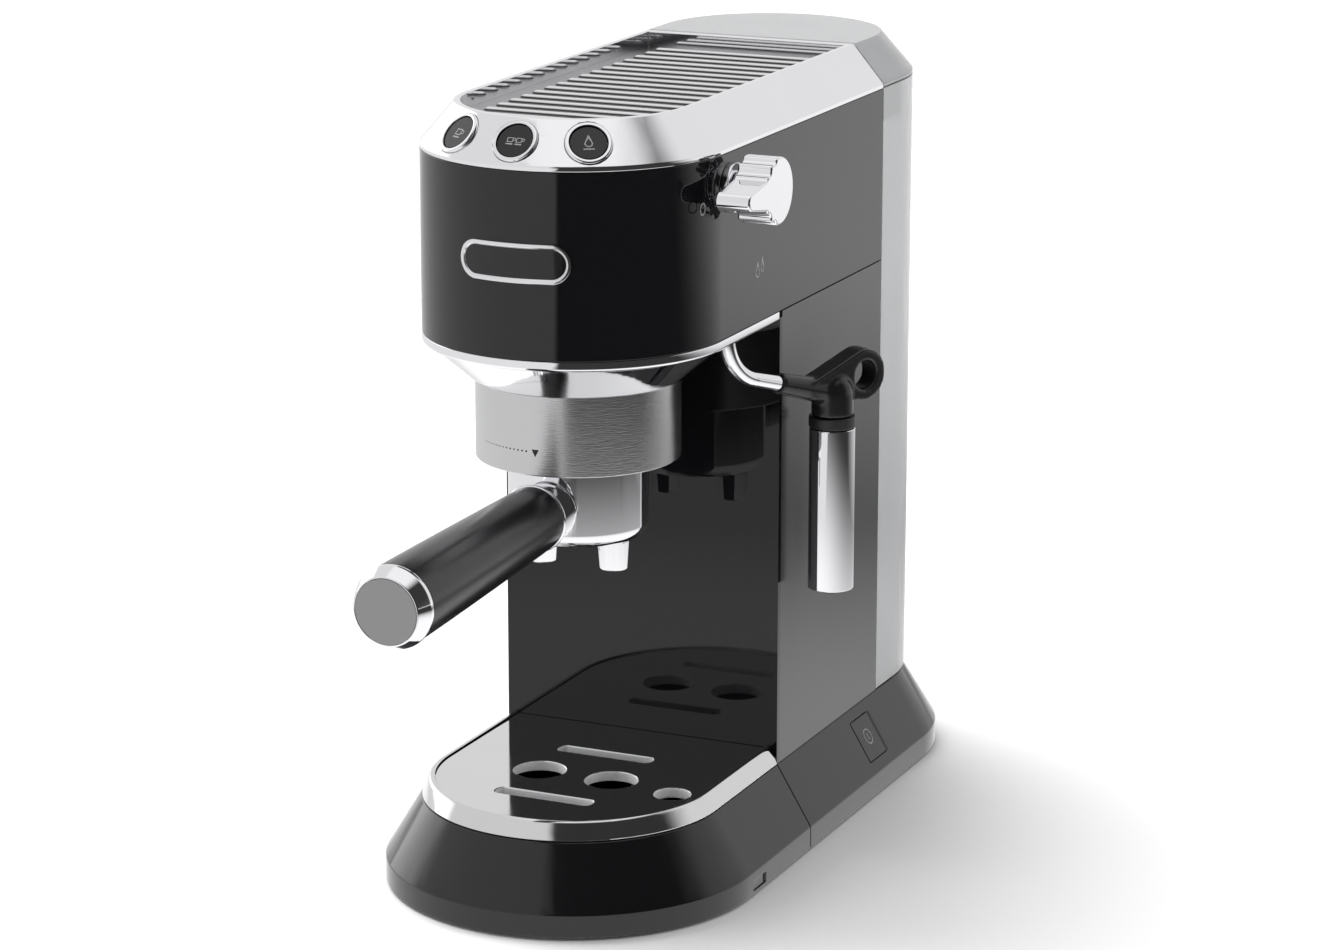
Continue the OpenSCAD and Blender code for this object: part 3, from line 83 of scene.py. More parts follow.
class GroupMaker:
    """Builds the shader node groups that several finishes share."""

    def __init__(self) -> None:
        """Starts with no group built."""
        self._made: dict[str, bpy.types.NodeTree] = {}

    def get(self, name: str) -> bpy.types.NodeTree:
        """Gives a shared group, building it the first time.

        Args:
            name: one of "tone", "haze", "grain", "brushing" or "specks".

        Returns:
            The node tree of the group.
        """
        if name not in self._made:
            makers = {
                "tone": self._tone,
                "haze": self._haze,
                "grain": self._grain,
                "brushing": self._brushing,
                "specks": self._specks,
            }
            self._made[name] = makers[name]()
        return self._made[name]

    @staticmethod
    def _tree(name: str, inputs: Sequence[tuple[str, str, object]], output: tuple[str, str]) -> tuple:
        """Makes an empty group with its sockets.

        Args:
            name: name of the group.
            inputs: socket name, socket type and default value of each input.
            output: socket name and socket type of the output.

        Returns:
            The tree, its input node and its output node.
        """
        tree = bpy.data.node_groups.new(name, "ShaderNodeTree")
        for label, kind, value in inputs:
            socket = tree.interface.new_socket(label, in_out="INPUT", socket_type=kind)
            socket.default_value = value
        tree.interface.new_socket(output[0], in_out="OUTPUT", socket_type=output[1])
        return tree, tree.nodes.new("NodeGroupInput"), tree.nodes.new("NodeGroupOutput")

    @staticmethod
    def _noise(tree: bpy.types.NodeTree, vector: object, scale: object, detail: float) -> object:
        """Adds a noise texture to a tree.

        Args:
            tree: the tree that gets the node.
            vector: socket that the noise reads its place from.
            scale: socket or number for its scale.
            detail: number of octaves.

        Returns:
            The socket with the noise's value.
        """
        noise = tree.nodes.new("ShaderNodeTexNoise")
        noise.inputs["Detail"].default_value = detail
        tree.links.new(vector, noise.inputs["Vector"])
        if isinstance(scale, (int, float)):
            noise.inputs["Scale"].default_value = scale
        else:
            tree.links.new(scale, noise.inputs["Scale"])
        return noise.outputs["Fac"]

    def _tone(self) -> bpy.types.NodeTree:
        """Builds the group that lets a colour wander softly between two tones."""
        tree, start, end = self._tree(
            "colour_tone",
            [("Deep", "NodeSocketColor", (0, 0, 0, 1)), ("Pale", "NodeSocketColor", (1, 1, 1, 1)),
             ("Scale", "NodeSocketFloat", 20.0)],
            ("Colour", "NodeSocketColor"),
        )
        place = tree.nodes.new("ShaderNodeTexCoord")
        value = self._noise(tree, place.outputs["Object"], start.outputs["Scale"], 3.0)
        mix = tree.nodes.new("ShaderNodeMix")
        mix.data_type = "RGBA"
        tree.links.new(value, mix.inputs["Factor"])
        tree.links.new(start.outputs["Deep"], mix.inputs["A"])
        tree.links.new(start.outputs["Pale"], mix.inputs["B"])
        tree.links.new(mix.outputs["Result"], end.inputs["Colour"])
        return tree

    def _haze(self) -> bpy.types.NodeTree:
        """Builds the group that gives a roughness with faint handling marks."""
        tree, start, end = self._tree(
            "handling_haze",
            [("Low", "NodeSocketFloat", 0.1), ("High", "NodeSocketFloat", 0.2),
             ("Scale", "NodeSocketFloat", 14.0)],
            ("Roughness", "NodeSocketFloat"),
        )
        place = tree.nodes.new("ShaderNodeTexCoord")
        value = self._noise(tree, place.outputs["Object"], start.outputs["Scale"], 5.0)
        spread = tree.nodes.new("ShaderNodeMapRange")
        spread.inputs["From Min"].default_value = 0.35
        spread.inputs["From Max"].default_value = 0.7
        tree.links.new(value, spread.inputs["Value"])
        tree.links.new(start.outputs["Low"], spread.inputs["To Min"])
        tree.links.new(start.outputs["High"], spread.inputs["To Max"])
        tree.links.new(spread.outputs["Result"], end.inputs["Roughness"])
        return tree

    def _grain(self) -> bpy.types.NodeTree:
        """Builds the group that gives the height of a fine moulded or cast grain."""
        tree, start, end = self._tree(
            "fine_grain",
            [("Scale", "NodeSocketFloat", 900.0), ("Stretch", "NodeSocketVector", (1, 1, 1))],
            ("Height", "NodeSocketFloat"),
        )
        place = tree.nodes.new("ShaderNodeTexCoord")
        stretch = tree.nodes.new("ShaderNodeVectorMath")
        stretch.operation = "MULTIPLY"
        tree.links.new(place.outputs["Object"], stretch.inputs[0])
        tree.links.new(start.outputs["Stretch"], stretch.inputs[1])
        value = self._noise(tree, stretch.outputs["Vector"], start.outputs["Scale"], 2.0)
        tree.links.new(value, end.inputs["Height"])
        return tree

    def _brushing(self) -> bpy.types.NodeTree:
        """Builds the group that gives the height of lines brushed round an upright axis."""
        tree, start, end = self._tree(
            "round_brushing",
            [("Scale", "NodeSocketFloat", 2500.0), ("Along", "NodeSocketFloat", 0.004)],
            ("Height", "NodeSocketFloat"),
        )
        place = tree.nodes.new("ShaderNodeTexCoord")
        split = tree.nodes.new("ShaderNodeSeparateXYZ")
        turn = tree.nodes.new("ShaderNodeMath")
        turn.operation = "ARCTAN2"
        reach = tree.nodes.new("ShaderNodeVectorMath")
        reach.operation = "LENGTH"
        flat = tree.nodes.new("ShaderNodeCombineXYZ")
        along = tree.nodes.new("ShaderNodeMath")
        along.operation = "MULTIPLY"
        join = tree.nodes.new("ShaderNodeCombineXYZ")
        tree.links.new(place.outputs["Object"], split.inputs["Vector"])
        tree.links.new(split.outputs["Y"], turn.inputs[0])
        tree.links.new(split.outputs["X"], turn.inputs[1])
        tree.links.new(split.outputs["X"], flat.inputs["X"])
        tree.links.new(split.outputs["Y"], flat.inputs["Y"])
        tree.links.new(flat.outputs["Vector"], reach.inputs[0])
        tree.links.new(turn.outputs["Value"], along.inputs[0])
        tree.links.new(start.outputs["Along"], along.inputs[1])
        tree.links.new(along.outputs["Value"], join.inputs["X"])
        tree.links.new(reach.outputs["Value"], join.inputs["Y"])
        tree.links.new(split.outputs["Z"], join.inputs["Z"])
        value = self._noise(tree, join.outputs["Vector"], start.outputs["Scale"], 3.0)
        tree.links.new(value, end.inputs["Height"])
        return tree

    def _specks(self) -> bpy.types.NodeTree:
        """Builds the group that gives a mask of sparse dust specks."""
        tree, start, end = self._tree(
            "dust_specks",
            [("Scale", "NodeSocketFloat", 260.0), ("Share", "NodeSocketFloat", 0.08)],
            ("Mask", "NodeSocketFloat"),
        )
        place = tree.nodes.new("ShaderNodeTexCoord")
        cells = tree.nodes.new("ShaderNodeTexVoronoi")
        tree.links.new(place.outputs["Object"], cells.inputs["Vector"])
        tree.links.new(start.outputs["Scale"], cells.inputs["Scale"])
        near = tree.nodes.new("ShaderNodeMath")
        near.operation = "LESS_THAN"
        tree.links.new(cells.outputs["Distance"], near.inputs[0])
        tree.links.new(start.outputs["Share"], near.inputs[1])
        tree.links.new(near.outputs["Value"], end.inputs["Mask"])
        return tree


GROUPS = GroupMaker()


@dataclass(frozen=True)
class Finish:
    """One surface finish, with what makes it differ from a flat colour."""

    name: str
    tint: Colour
    rough: float = 0.3
    haze: float = 0.05
    haze_scale: float = 18.0
    metal: float = 0.0
    coat: float = 0.0
    specular: float = 0.5
    ior: float = 1.5
    tone: float = 0.08
    tone_scale: float = 30.0
    grain: float = 900.0
    grain_depth: float = 0.03
    brushing: Brushing = Brushing.NONE
    brush_depth: float = 0.0
    clear: float = 0.0
    specks: float = 0.0

    def make(self) -> bpy.types.Material:
        """Builds the Blender material of this finish.

        Returns:
            The new material.
        """
        material = bpy.data.materials.new(self.name)
        material.use_nodes = True
        tree = material.node_tree
        body = tree.nodes["Principled BSDF"]
        body.inputs["Metallic"].default_value = self.metal
        body.inputs["IOR"].default_value = self.ior
        body.inputs["Specular IOR Level"].default_value = self.specular
        body.inputs["Coat Weight"].default_value = self.coat
        body.inputs["Coat Roughness"].default_value = 0.03
        body.inputs["Transmission Weight"].default_value = self.clear
        colour = self._group(tree, "tone", Scale=self.tone_scale)
        colour.inputs["Deep"].default_value = (*[c * (1 - self.tone) for c in self.tint], 1)
        colour.inputs["Pale"].default_value = (*[min(1.0, c * (1 + self.tone)) for c in self.tint], 1)
        tree.links.new(self._dusted(tree, colour.outputs["Colour"]), body.inputs["Base Color"])
        haze = self._group(tree, "haze", Low=self.rough, High=self.rough + self.haze, Scale=self.haze_scale)
        tree.links.new(haze.outputs["Roughness"], body.inputs["Roughness"])
        tree.links.new(self._bumped(tree), body.inputs["Normal"])
        return material

    @staticmethod
    def _group(tree: bpy.types.NodeTree, kind: str, **values: object) -> bpy.types.Node:
        """Places a shared group in a material.

        Args:
            tree: the material's node tree.
            kind: name of the shared group.
            **values: values of the group's inputs.

        Returns:
            The group's node.
        """
        node = tree.nodes.new("ShaderNodeGroup")
        node.node_tree = GROUPS.get(kind)
        for label, value in values.items():
            node.inputs[label].default_value = value
        return node

    def _dusted(self, tree: bpy.types.NodeTree, colour: object) -> object:
        """Lays sparse dust over a colour, where the finish has any.

        Args:
            tree: the material's node tree.
            colour: socket with the clean colour.

        Returns:
            The socket with the colour to use.
        """
        if not self.specks:
            return colour
        mask = self._group(tree, "specks", Share=self.specks)
        mix = tree.nodes.new("ShaderNodeMix")
        mix.data_type = "RGBA"
        tree.links.new(mask.outputs["Mask"], mix.inputs["Factor"])
        tree.links.new(colour, mix.inputs["A"])
        mix.inputs["B"].default_value = (*[min(1.0, c + 0.03) for c in self.tint], 1)
        return mix.outputs["Result"]

    def _bumped(self, tree: bpy.types.NodeTree) -> object:
        """Adds the grain and the brushed lines as a bump.

        Args:
            tree: the material's node tree.

        Returns:
            The socket with the bumped normal.
        """
        bump = tree.nodes.new("ShaderNodeBump")
        bump.inputs["Distance"].default_value = 0.0004
        bump.inputs["Strength"].default_value = self.grain_depth
        stretches = {
            Brushing.NONE: (1.0, 1.0, 1.0),
            Brushing.ACROSS: (0.012, 1.0, 1.0),
            Brushing.UPRIGHT: (1.0, 1.0, 0.012),
        }
        if self.brushing is Brushing.ROUND:
            lines = self._group(tree, "brushing")
            bump.inputs["Strength"].default_value = self.brush_depth
        else:
            lines = self._group(tree, "grain", Scale=self.grain, Stretch=stretches[self.brushing])
            if self.brushing is not Brushing.NONE:
                bump.inputs["Strength"].default_value = self.brush_depth
        tree.links.new(lines.outputs["Height"], bump.inputs["Height"])
        return bump.outputs["Normal"]


@dataclass(frozen=True)
class RibbedFinish(Finish):
    """Brushed sheet metal with painted shade at the feet of its ribs and on the flat sheet, and a painted
    highlight on the rib tops.
    """

    # Painted light set by the height above the sheet: painted shade at the ribs' feet and on the flat sheet
    # between them, painted highlight on the rib tops.
    foot: Colour = (0.05, 0.05, 0.052)
    valley_shade: Colour = (0.36, 0.36, 0.365)
    rib_highlight: Colour = (1.0, 1.0, 1.0)
    top_z: float = 0.3028
    rib_h: float = 0.0012
    valley_end: float = 0.03
    foot_start: float = 0.10
    foot_end: float = 0.42
    top_start: float = 0.72

    def make(self) -> bpy.types.Material:
        """Builds the finish, then paints shade and highlight on it by the height above the sheet.

        Returns:
            The new material.
        """
        material = super().make()
        tree = material.node_tree
        body = tree.nodes["Principled BSDF"]
        plain = body.inputs["Base Color"].links[0].from_socket
        place = tree.nodes.new("ShaderNodeTexCoord")
        split = tree.nodes.new("ShaderNodeSeparateXYZ")
        rise = tree.nodes.new("ShaderNodeMapRange")
        rise.inputs["From Min"].default_value = self.top_z - self.rib_h
        rise.inputs["From Max"].default_value = self.top_z
        # Ramp of painted light: painted shade at the ribs' feet and on the flat sheet, painted highlight on
        # the rib tops.
        tones = tree.nodes.new("ShaderNodeValToRGB")
        tones.color_ramp.elements[0].color = (*self.valley_shade, 1)
        tones.color_ramp.elements[0].position = self.valley_end
        tones.color_ramp.elements[1].color = (*self.rib_highlight, 1)
        tones.color_ramp.elements[1].position = self.top_start
        for spot in (self.foot_start, self.foot_end):
            tones.color_ramp.elements.new(spot).color = (*self.foot, 1)
        blend = tree.nodes.new("ShaderNodeMix")
        blend.data_type = "RGBA"
        blend.blend_type = "MULTIPLY"
        blend.inputs["Factor"].default_value = 1.0
        tree.links.new(place.outputs["Object"], split.inputs["Vector"])
        tree.links.new(split.outputs["Z"], rise.inputs["Value"])
        tree.links.new(rise.outputs["Result"], tones.inputs["Fac"])
        tree.links.new(plain, blend.inputs["A"])
        tree.links.new(tones.outputs["Color"], blend.inputs["B"])
        tree.links.new(blend.outputs["Result"], body.inputs["Base Color"])
        return material


GLOSS_BLACK = Finish("gloss_black", (0.006, 0.006, 0.007), rough=0.035, haze=0.03, grain=60,
                     grain_depth=0.004, specks=0.02)
BASE_BLACK = Finish("base_black", (0.007, 0.007, 0.008), rough=0.09, haze=0.06, grain=400,
                    grain_depth=0.008, specks=0.02)
PANEL_BLACK = Finish("panel_black", (0.005, 0.005, 0.006), rough=0.015, haze=0.02, specular=0.38,
                     grain=40, grain_depth=0.002)
SIDE_GREY = Finish("side_grey", (0.030, 0.030, 0.032), rough=0.17, haze=0.05, grain=500,
                   grain_depth=0.008)
DARK_PLASTIC = Finish("dark_plastic", (0.016, 0.016, 0.018), rough=0.42, haze=0.12, grain=1400,
                      grain_depth=0.10)
CHROME = Finish("chrome", (0.86, 0.86, 0.88), rough=0.035, haze=0.03, metal=1.0, tone=0.02, grain=90,
                grain_depth=0.004)
SATIN_CHROME = Finish("satin_chrome", (0.80, 0.80, 0.82), rough=0.12, haze=0.06, metal=1.0, tone=0.03,
                      grain=900, grain_depth=0.02)
# Cup warmer steel: its colour carries painted shade and a painted highlight on the ribs.
WARMER_STEEL_PAINTED_LIGHT = RibbedFinish("warmer_steel_painted_light", (0.84, 0.84, 0.85), rough=0.24, haze=0.08, metal=1.0,
                            tone=0.05, grain=2200, brushing=Brushing.ACROSS, brush_depth=0.10)
# Pale matt colour for the walls of the drip plate's openings: a painted reflection in place of their polished
# steel.
PAINTED_REFLECTION_EDGE = Finish("rolled_edge_painted_reflection", (0.95, 0.95, 0.96), rough=0.45, haze=0.10, metal=0.10, tone=0.04,
                     grain=1600, grain_depth=0.03)
COLLAR_STEEL = Finish("collar_steel", (0.64, 0.64, 0.65), rough=0.22, haze=0.06, metal=1.0, tone=0.04,
                      brushing=Brushing.ROUND, brush_depth=0.10)
POLISHED_STEEL = Finish("polished_steel", (0.72, 0.72, 0.73), rough=0.05, haze=0.05, metal=1.0,
                        tone=0.03, grain=200, grain_depth=0.006)
CAST_ALLOY = Finish("cast_alloy", (0.42, 0.43, 0.44), rough=0.42, haze=0.12, metal=1.0, tone=0.12,
                    grain=1500, grain_depth=0.25)
BRASS = Finish("brass", (0.62, 0.47, 0.20), rough=0.24, haze=0.10, metal=1.0, tone=0.10, grain=1200,
               brushing=Brushing.UPRIGHT, brush_depth=0.08)
RUBBER = Finish("rubber", (0.018, 0.018, 0.019), rough=0.62, haze=0.15, grain=2000, grain_depth=0.20)
GRIP_BLACK = Finish("grip_black", (0.010, 0.010, 0.011), rough=0.20, haze=0.08, grain=1800,
                    grain_depth=0.05)
MARK_GREY = Finish("mark_grey", (0.30, 0.30, 0.31), rough=0.45, haze=0.10, tone=0.06, grain=1500,
                   grain_depth=0.03)
MARK_DARK = Finish("mark_dark", (0.010, 0.010, 0.011), rough=0.45, haze=0.10, tone=0.06, grain=1500,
                   grain_depth=0.03)
BUTTON_BLACK = Finish("button_black", (0.008, 0.008, 0.009), rough=0.12, haze=0.04, grain=300,
                      grain_depth=0.01)
DISC_GREY = Finish("disc_grey", (0.34, 0.34, 0.345), rough=0.34, haze=0.06, metal=1.0, tone=0.05,
                   grain=1800, grain_depth=0.05)
SMOKE = Finish("smoke_plastic", (0.50, 0.505, 0.515), rough=0.12, haze=0.06, clear=0.42, ior=1.38,
               tone=0.03, grain=400, grain_depth=0.01)
CLEAR = Finish("clear_plastic", (0.74, 0.745, 0.755), rough=0.12, haze=0.06, clear=0.50, ior=1.25,
               tone=0.03, grain=300, grain_depth=0.01)
BOARD = Finish("circuit_board", (0.02, 0.13, 0.06), rough=0.32, haze=0.10, tone=0.15, grain=700,
               grain_depth=0.06)
SILICONE = Finish("silicone", (0.66, 0.64, 0.60), rough=0.40, haze=0.10, tone=0.06, grain=900,
                  grain_depth=0.04)
WHITE_PLASTIC = Finish("white_plastic", (0.66, 0.65, 0.61), rough=0.34, haze=0.10, tone=0.05, grain=900,
                       grain_depth=0.05)
PUMP_BODY = Finish("pump_body", (0.09, 0.07, 0.05), rough=0.40, haze=0.12, tone=0.15, grain=900,
                   grain_depth=0.10)

SLOT_FINISHES: dict[str, Finish] = {
    "gloss_black": GLOSS_BLACK,
    "base_black": BASE_BLACK,
    "panel_black": PANEL_BLACK,
    "side_grey": SIDE_GREY,
    "dark_plastic": DARK_PLASTIC,
    "chrome": CHROME,
    "brushed_steel": WARMER_STEEL_PAINTED_LIGHT,
    "polished_steel": POLISHED_STEEL,
    "cast_alloy": CAST_ALLOY,
    "brass": BRASS,
    "rubber": RUBBER,
    "grip_black": GRIP_BLACK,
    "button_black": BUTTON_BLACK,
    "disc_grey": DISC_GREY,
    "smoke_plastic": SMOKE,
    "clear_plastic": CLEAR,
    "circuit_board": BOARD,
    "silicone": SILICONE,
    "white_plastic": WHITE_PLASTIC,
    "pump_body": PUMP_BODY,
}


class Paintbox:
    """Keeps one Blender material for each finish."""

    def __init__(self) -> None:
        """Starts with no material made."""
        self._made: dict[str, bpy.types.Material] = {}

    def of(self, finish: Finish) -> bpy.types.Material:
        """Gives a finish's material, making it the first time.

        Args:
            finish: the finish wanted.

        Returns:
            Its material.
        """
        if finish.name not in self._made:
            self._made[finish.name] = finish.make()
        return self._made[finish.name]

    def dress(self, piece: bpy.types.Object, finish: Finish) -> None:
        """Gives a piece one finish all over.

        Args:
            piece: the object to dress.
            finish: the finish it gets.
        """
        if not piece.material_slots:
            piece.data.materials.append(self.of(finish))
        for slot in piece.material_slots:
            slot.material = self.of(finish)


PAINT = Paintbox()


class Bench:
    """Modelling steps that the sub-assemblies share."""

    @staticmethod
    def focus(piece: bpy.types.Object) -> None:
        """Makes a piece the only one selected and the active one."""
        bpy.ops.object.select_all(action="DESELECT")
        piece.select_set(True)
        bpy.context.view_layer.objects.active = piece

    @staticmethod
    def pick(piece: bpy.types.Object, test: Callable[[bpy.types.MeshPolygon], bool]) -> None:
        """Enters edit mode with only some faces selected.

        Args:
            piece: the piece to edit.
            test: says whether a face is taken.
        """
        Bench.focus(piece)
        bpy.ops.object.mode_set(mode="EDIT")
        bpy.ops.mesh.select_mode(type="FACE")
        bpy.ops.mesh.select_all(action="DESELECT")
        bpy.ops.object.mode_set(mode="OBJECT")
        for face in piece.data.polygons:
            face.select = test(face)
        bpy.ops.object.mode_set(mode="EDIT")

    @staticmethod
    def close(piece: bpy.types.Object) -> None:
        """Merges a piece's doubles and turns its faces outwards."""
        Bench.focus(piece)
        bpy.ops.object.mode_set(mode="EDIT")
        bpy.ops.mesh.select_all(action="SELECT")
        bpy.ops.mesh.remove_doubles(threshold=0.002 * MM)
        bpy.ops.mesh.normals_make_consistent(inside=False)
        bpy.ops.object.mode_set(mode="OBJECT")

    @staticmethod
    def modify(piece: bpy.types.Object, kind: str, **values: object) -> None:
        """Adds one modifier and applies it at once.

        Args:
            piece: the piece that it works on.
            kind: the modifier's type.
            **values: its settings.
        """
        modifier = piece.modifiers.new(kind.lower(), kind)
        for label, value in values.items():
            setattr(modifier, label, value)
        Bench.focus(piece)
        bpy.ops.object.modifier_apply(modifier=modifier.name)

    @staticmethod
    def bevel(piece: bpy.types.Object, width: float, segments: int = 2, angle: float = 30.0) -> None:
        """Rounds a piece's sharp edges.

        Args:
            piece: the piece to round.
            width: width of the rounding in millimetres.
            segments: number of facets across it.
            angle: least angle in degrees of an edge that is rounded.
        """
        Bench.modify(piece, "BEVEL", width=width * MM, segments=segments, limit_method="ANGLE",
                     angle_limit=math.radians(angle), use_clamp_overlap=False, miter_outer="MITER_ARC")

    @staticmethod
    def smooth(piece: bpy.types.Object, angle: float = 35.0) -> None:
        """Shades a piece smooth, led by its large faces, but not over edges sharper than the angle."""
        Bench.focus(piece)
        bpy.ops.object.shade_smooth_by_angle(angle=math.radians(angle))
        Bench.modify(piece, "WEIGHTED_NORMAL", keep_sharp=True, weight=60)

    @staticmethod
    def place(piece: bpy.types.Object, matrix: Matrix) -> None:
        """Puts a piece's mesh at its place and leaves its object at the origin."""
        Bench.focus(piece)
        bpy.ops.object.transform_apply(location=True, rotation=True, scale=True)
        piece.data.transform(matrix)
        piece.data.update()

    @staticmethod
    def lathe(name: str, profile: Sequence[tuple[float, float]], sides: int = 64) -> bpy.types.Object:
        """Turns a closed round piece about Z, one extrusion for each step of its profile.

        Args:
            name: name of the piece.
            profile: radius and height of each step in millimetres, from the foot up.
            sides: number of facets round it.

        Returns:
            The new piece.
        """
        radius, height = profile[0]
        bpy.ops.object.select_all(action="DESELECT")
        bpy.ops.mesh.primitive_circle_add(vertices=sides, radius=radius * MM, fill_type="NGON",
                                          location=(0, 0, height * MM))
        piece = bpy.context.object
        piece.name = name
        bpy.ops.object.transform_apply(location=True)
        bpy.ops.object.mode_set(mode="EDIT")
        bpy.ops.mesh.select_all(action="SELECT")
        for wider, higher in profile[1:]:
            bpy.ops.mesh.extrude_region_move(TRANSFORM_OT_translate={"value": (0, 0, (higher - height) * MM)})
            growth = wider / radius
            bpy.ops.transform.resize(value=(growth, growth, 1), center_override=(0, 0, higher * MM))
            radius, height = wider, higher
        bpy.ops.object.mode_set(mode="OBJECT")
        Bench.close(piece)
        return piece

    @staticmethod
    def outline(name: str, sides: int, radius: float, band: float, thick: float) -> bpy.types.Object:
        """Makes a thin flat ring with straight or round sides.

        Args:
            name: name of the piece.
            sides: number of sides.
            radius: radius to its outer corners in millimetres.
            band: width of the ring in millimetres, or 0 for a full plate.
            thick: its thickness in millimetres.

        Returns:
            The new piece, flat on Z = 0.
        """
        bpy.ops.object.select_all(action="DESELECT")
        bpy.ops.mesh.primitive_circle_add(vertices=sides, radius=radius * MM, fill_type="NGON")
        piece = bpy.context.object
        piece.name = name
        if band:
            Bench.pick(piece, lambda face: True)
            bpy.ops.mesh.inset(thickness=band * MM)
            bpy.ops.mesh.delete(type="FACE")
            bpy.ops.object.mode_set(mode="OBJECT")
        Bench.pick(piece, lambda face: True)
        bpy.ops.mesh.extrude_region_move(TRANSFORM_OT_translate={"value": (0, 0, thick * MM)})
        bpy.ops.object.mode_set(mode="OBJECT")
        Bench.close(piece)
        return piece

    @staticmethod
    def shaped(
        piece: bpy.types.Object, width: float, height: float, turn: float, across: float, up: float
    ) -> None:
        """Stretches, turns and shifts a flat mark in its own plane.

        Args:
            piece: the mark.
            width: stretch along X, after the turn.
            height: stretch along Y, after the turn.
            turn: turn in degrees.
            across: shift along X in millimetres.
            up: shift along Y in millimetres.
        """
        stretch = Matrix.Diagonal((width, height, 1, 1))
        shift = Matrix.Translation((across * MM, up * MM, 0))
        Bench.place(piece, shift @ stretch @ Matrix.Rotation(math.radians(turn), 4, "Z"))

    @staticmethod
    def join(name: str, pieces: Sequence[bpy.types.Object]) -> bpy.types.Object:
        """Joins several pieces into one.

        Args:
            name: name of the joined piece.
            pieces: what is joined.

        Returns:
            The joined piece.
        """
        Bench.focus(pieces[0])
        for piece in pieces:
            piece.select_set(True)
        bpy.ops.object.join()
        pieces[0].name = name
        return pieces[0]

    @staticmethod
    def wrap(piece: bpy.types.Object, radius: float, turn: float, height: float) -> None:
        """Bends a flat mark round an upright cylinder about the brew axis, face outwards.

        Args:
            piece: the mark, flat on Z = 0, with X along the girth and Y up.
            radius: radius of the cylinder in millimetres.
            turn: place of the mark's middle round the axis in degrees, from +X.
            height: height of the mark's middle in millimetres.
        """
        for vertex in piece.data.vertices:
            angle = math.radians(turn) + vertex.co.x / (radius * MM)
            reach = radius * MM + vertex.co.z
            vertex.co = (reach * math.cos(angle), reach * math.sin(angle), height * MM + vertex.co.y)
        piece.data.update()


@dataclass
class SubAssembly:
    frame: dict
    merge: float = 0.002
    flat_angle: float = 0.4

    def __post_init__(self) -> None:
        """Reads which material slot each node has."""
        self.slots = {row["node"]: row["material_slot"] for row in self.frame["record"]["subparts"]}

    def seat(
        self, piece: bpy.types.Object, body: str, slot: str, finish: Finish, *nodes: str
    ) -> bpy.types.Object:
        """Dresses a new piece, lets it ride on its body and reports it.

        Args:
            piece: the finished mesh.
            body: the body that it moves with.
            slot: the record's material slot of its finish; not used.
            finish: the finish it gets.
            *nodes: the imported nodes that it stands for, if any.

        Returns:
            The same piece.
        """
        PAINT.dress(piece, finish)
        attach(piece, body)
        if nodes:
            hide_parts(*nodes)
        LOG.info("%s: %d faces, rides on %s", piece.name, len(piece.data.polygons), body)
        return piece

    def copy_of(self, node: str) -> bpy.types.Object:
        """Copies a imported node's mesh, merged and with its flat faces whole.

        Args:
            node: name of the node.

        Returns:
            The copy.
        """
        piece = bpy.data.objects.new(node + "_soft", self.frame["nodes"][node].data.copy())
        bpy.context.scene.collection.objects.link(piece)
        Bench.focus(piece)
        bpy.ops.mesh.customdata_custom_splitnormals_clear()
        bpy.ops.object.mode_set(mode="EDIT")
        bpy.ops.mesh.select_all(action="SELECT")
        bpy.ops.mesh.remove_doubles(threshold=self.merge * MM)
        bpy.ops.mesh.dissolve_limited(angle_limit=math.radians(self.flat_angle))
        bpy.ops.object.mode_set(mode="OBJECT")
        return piece

    def soften(self, node: str, body: str, width: float, segments: int = 2) -> bpy.types.Object:
        """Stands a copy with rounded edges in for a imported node.

        Args:
            node: name of the node.
            body: the body that it moves with.
            width: width of the rounding in millimetres.
            segments: number of facets across the rounding.

        Returns:
            The new piece.
        """
        piece = self.copy_of(node)
        Bench.bevel(piece, width, segments)
        Bench.smooth(piece)
        slot = self.slots[node]
        return self.seat(piece, body, slot, SLOT_FINISHES[slot], node)


@dataclass
class Housings(SubAssembly):
    """Black and grey mouldings, the crown and the trim, with rounded edges."""

    shell_round: float = 0.5
    trim_round: float = 0.4
    flap_round: float = 0.25

    def build(self) -> None:
        """Builds the softened mouldings."""
        for node in ("head_shell", "base_shell"):
            self.soften(node, "machine", self.shell_round)
        for node in ("head_trim", "top_bezel", "wand_socket", "knob_escutcheon", "button_rings"):
            self.soften(node, "machine", self.trim_round)
        self.soften("drip_tray", "tray", self.shell_round)
        self.soften("power_flap", "flap", self.flap_round)


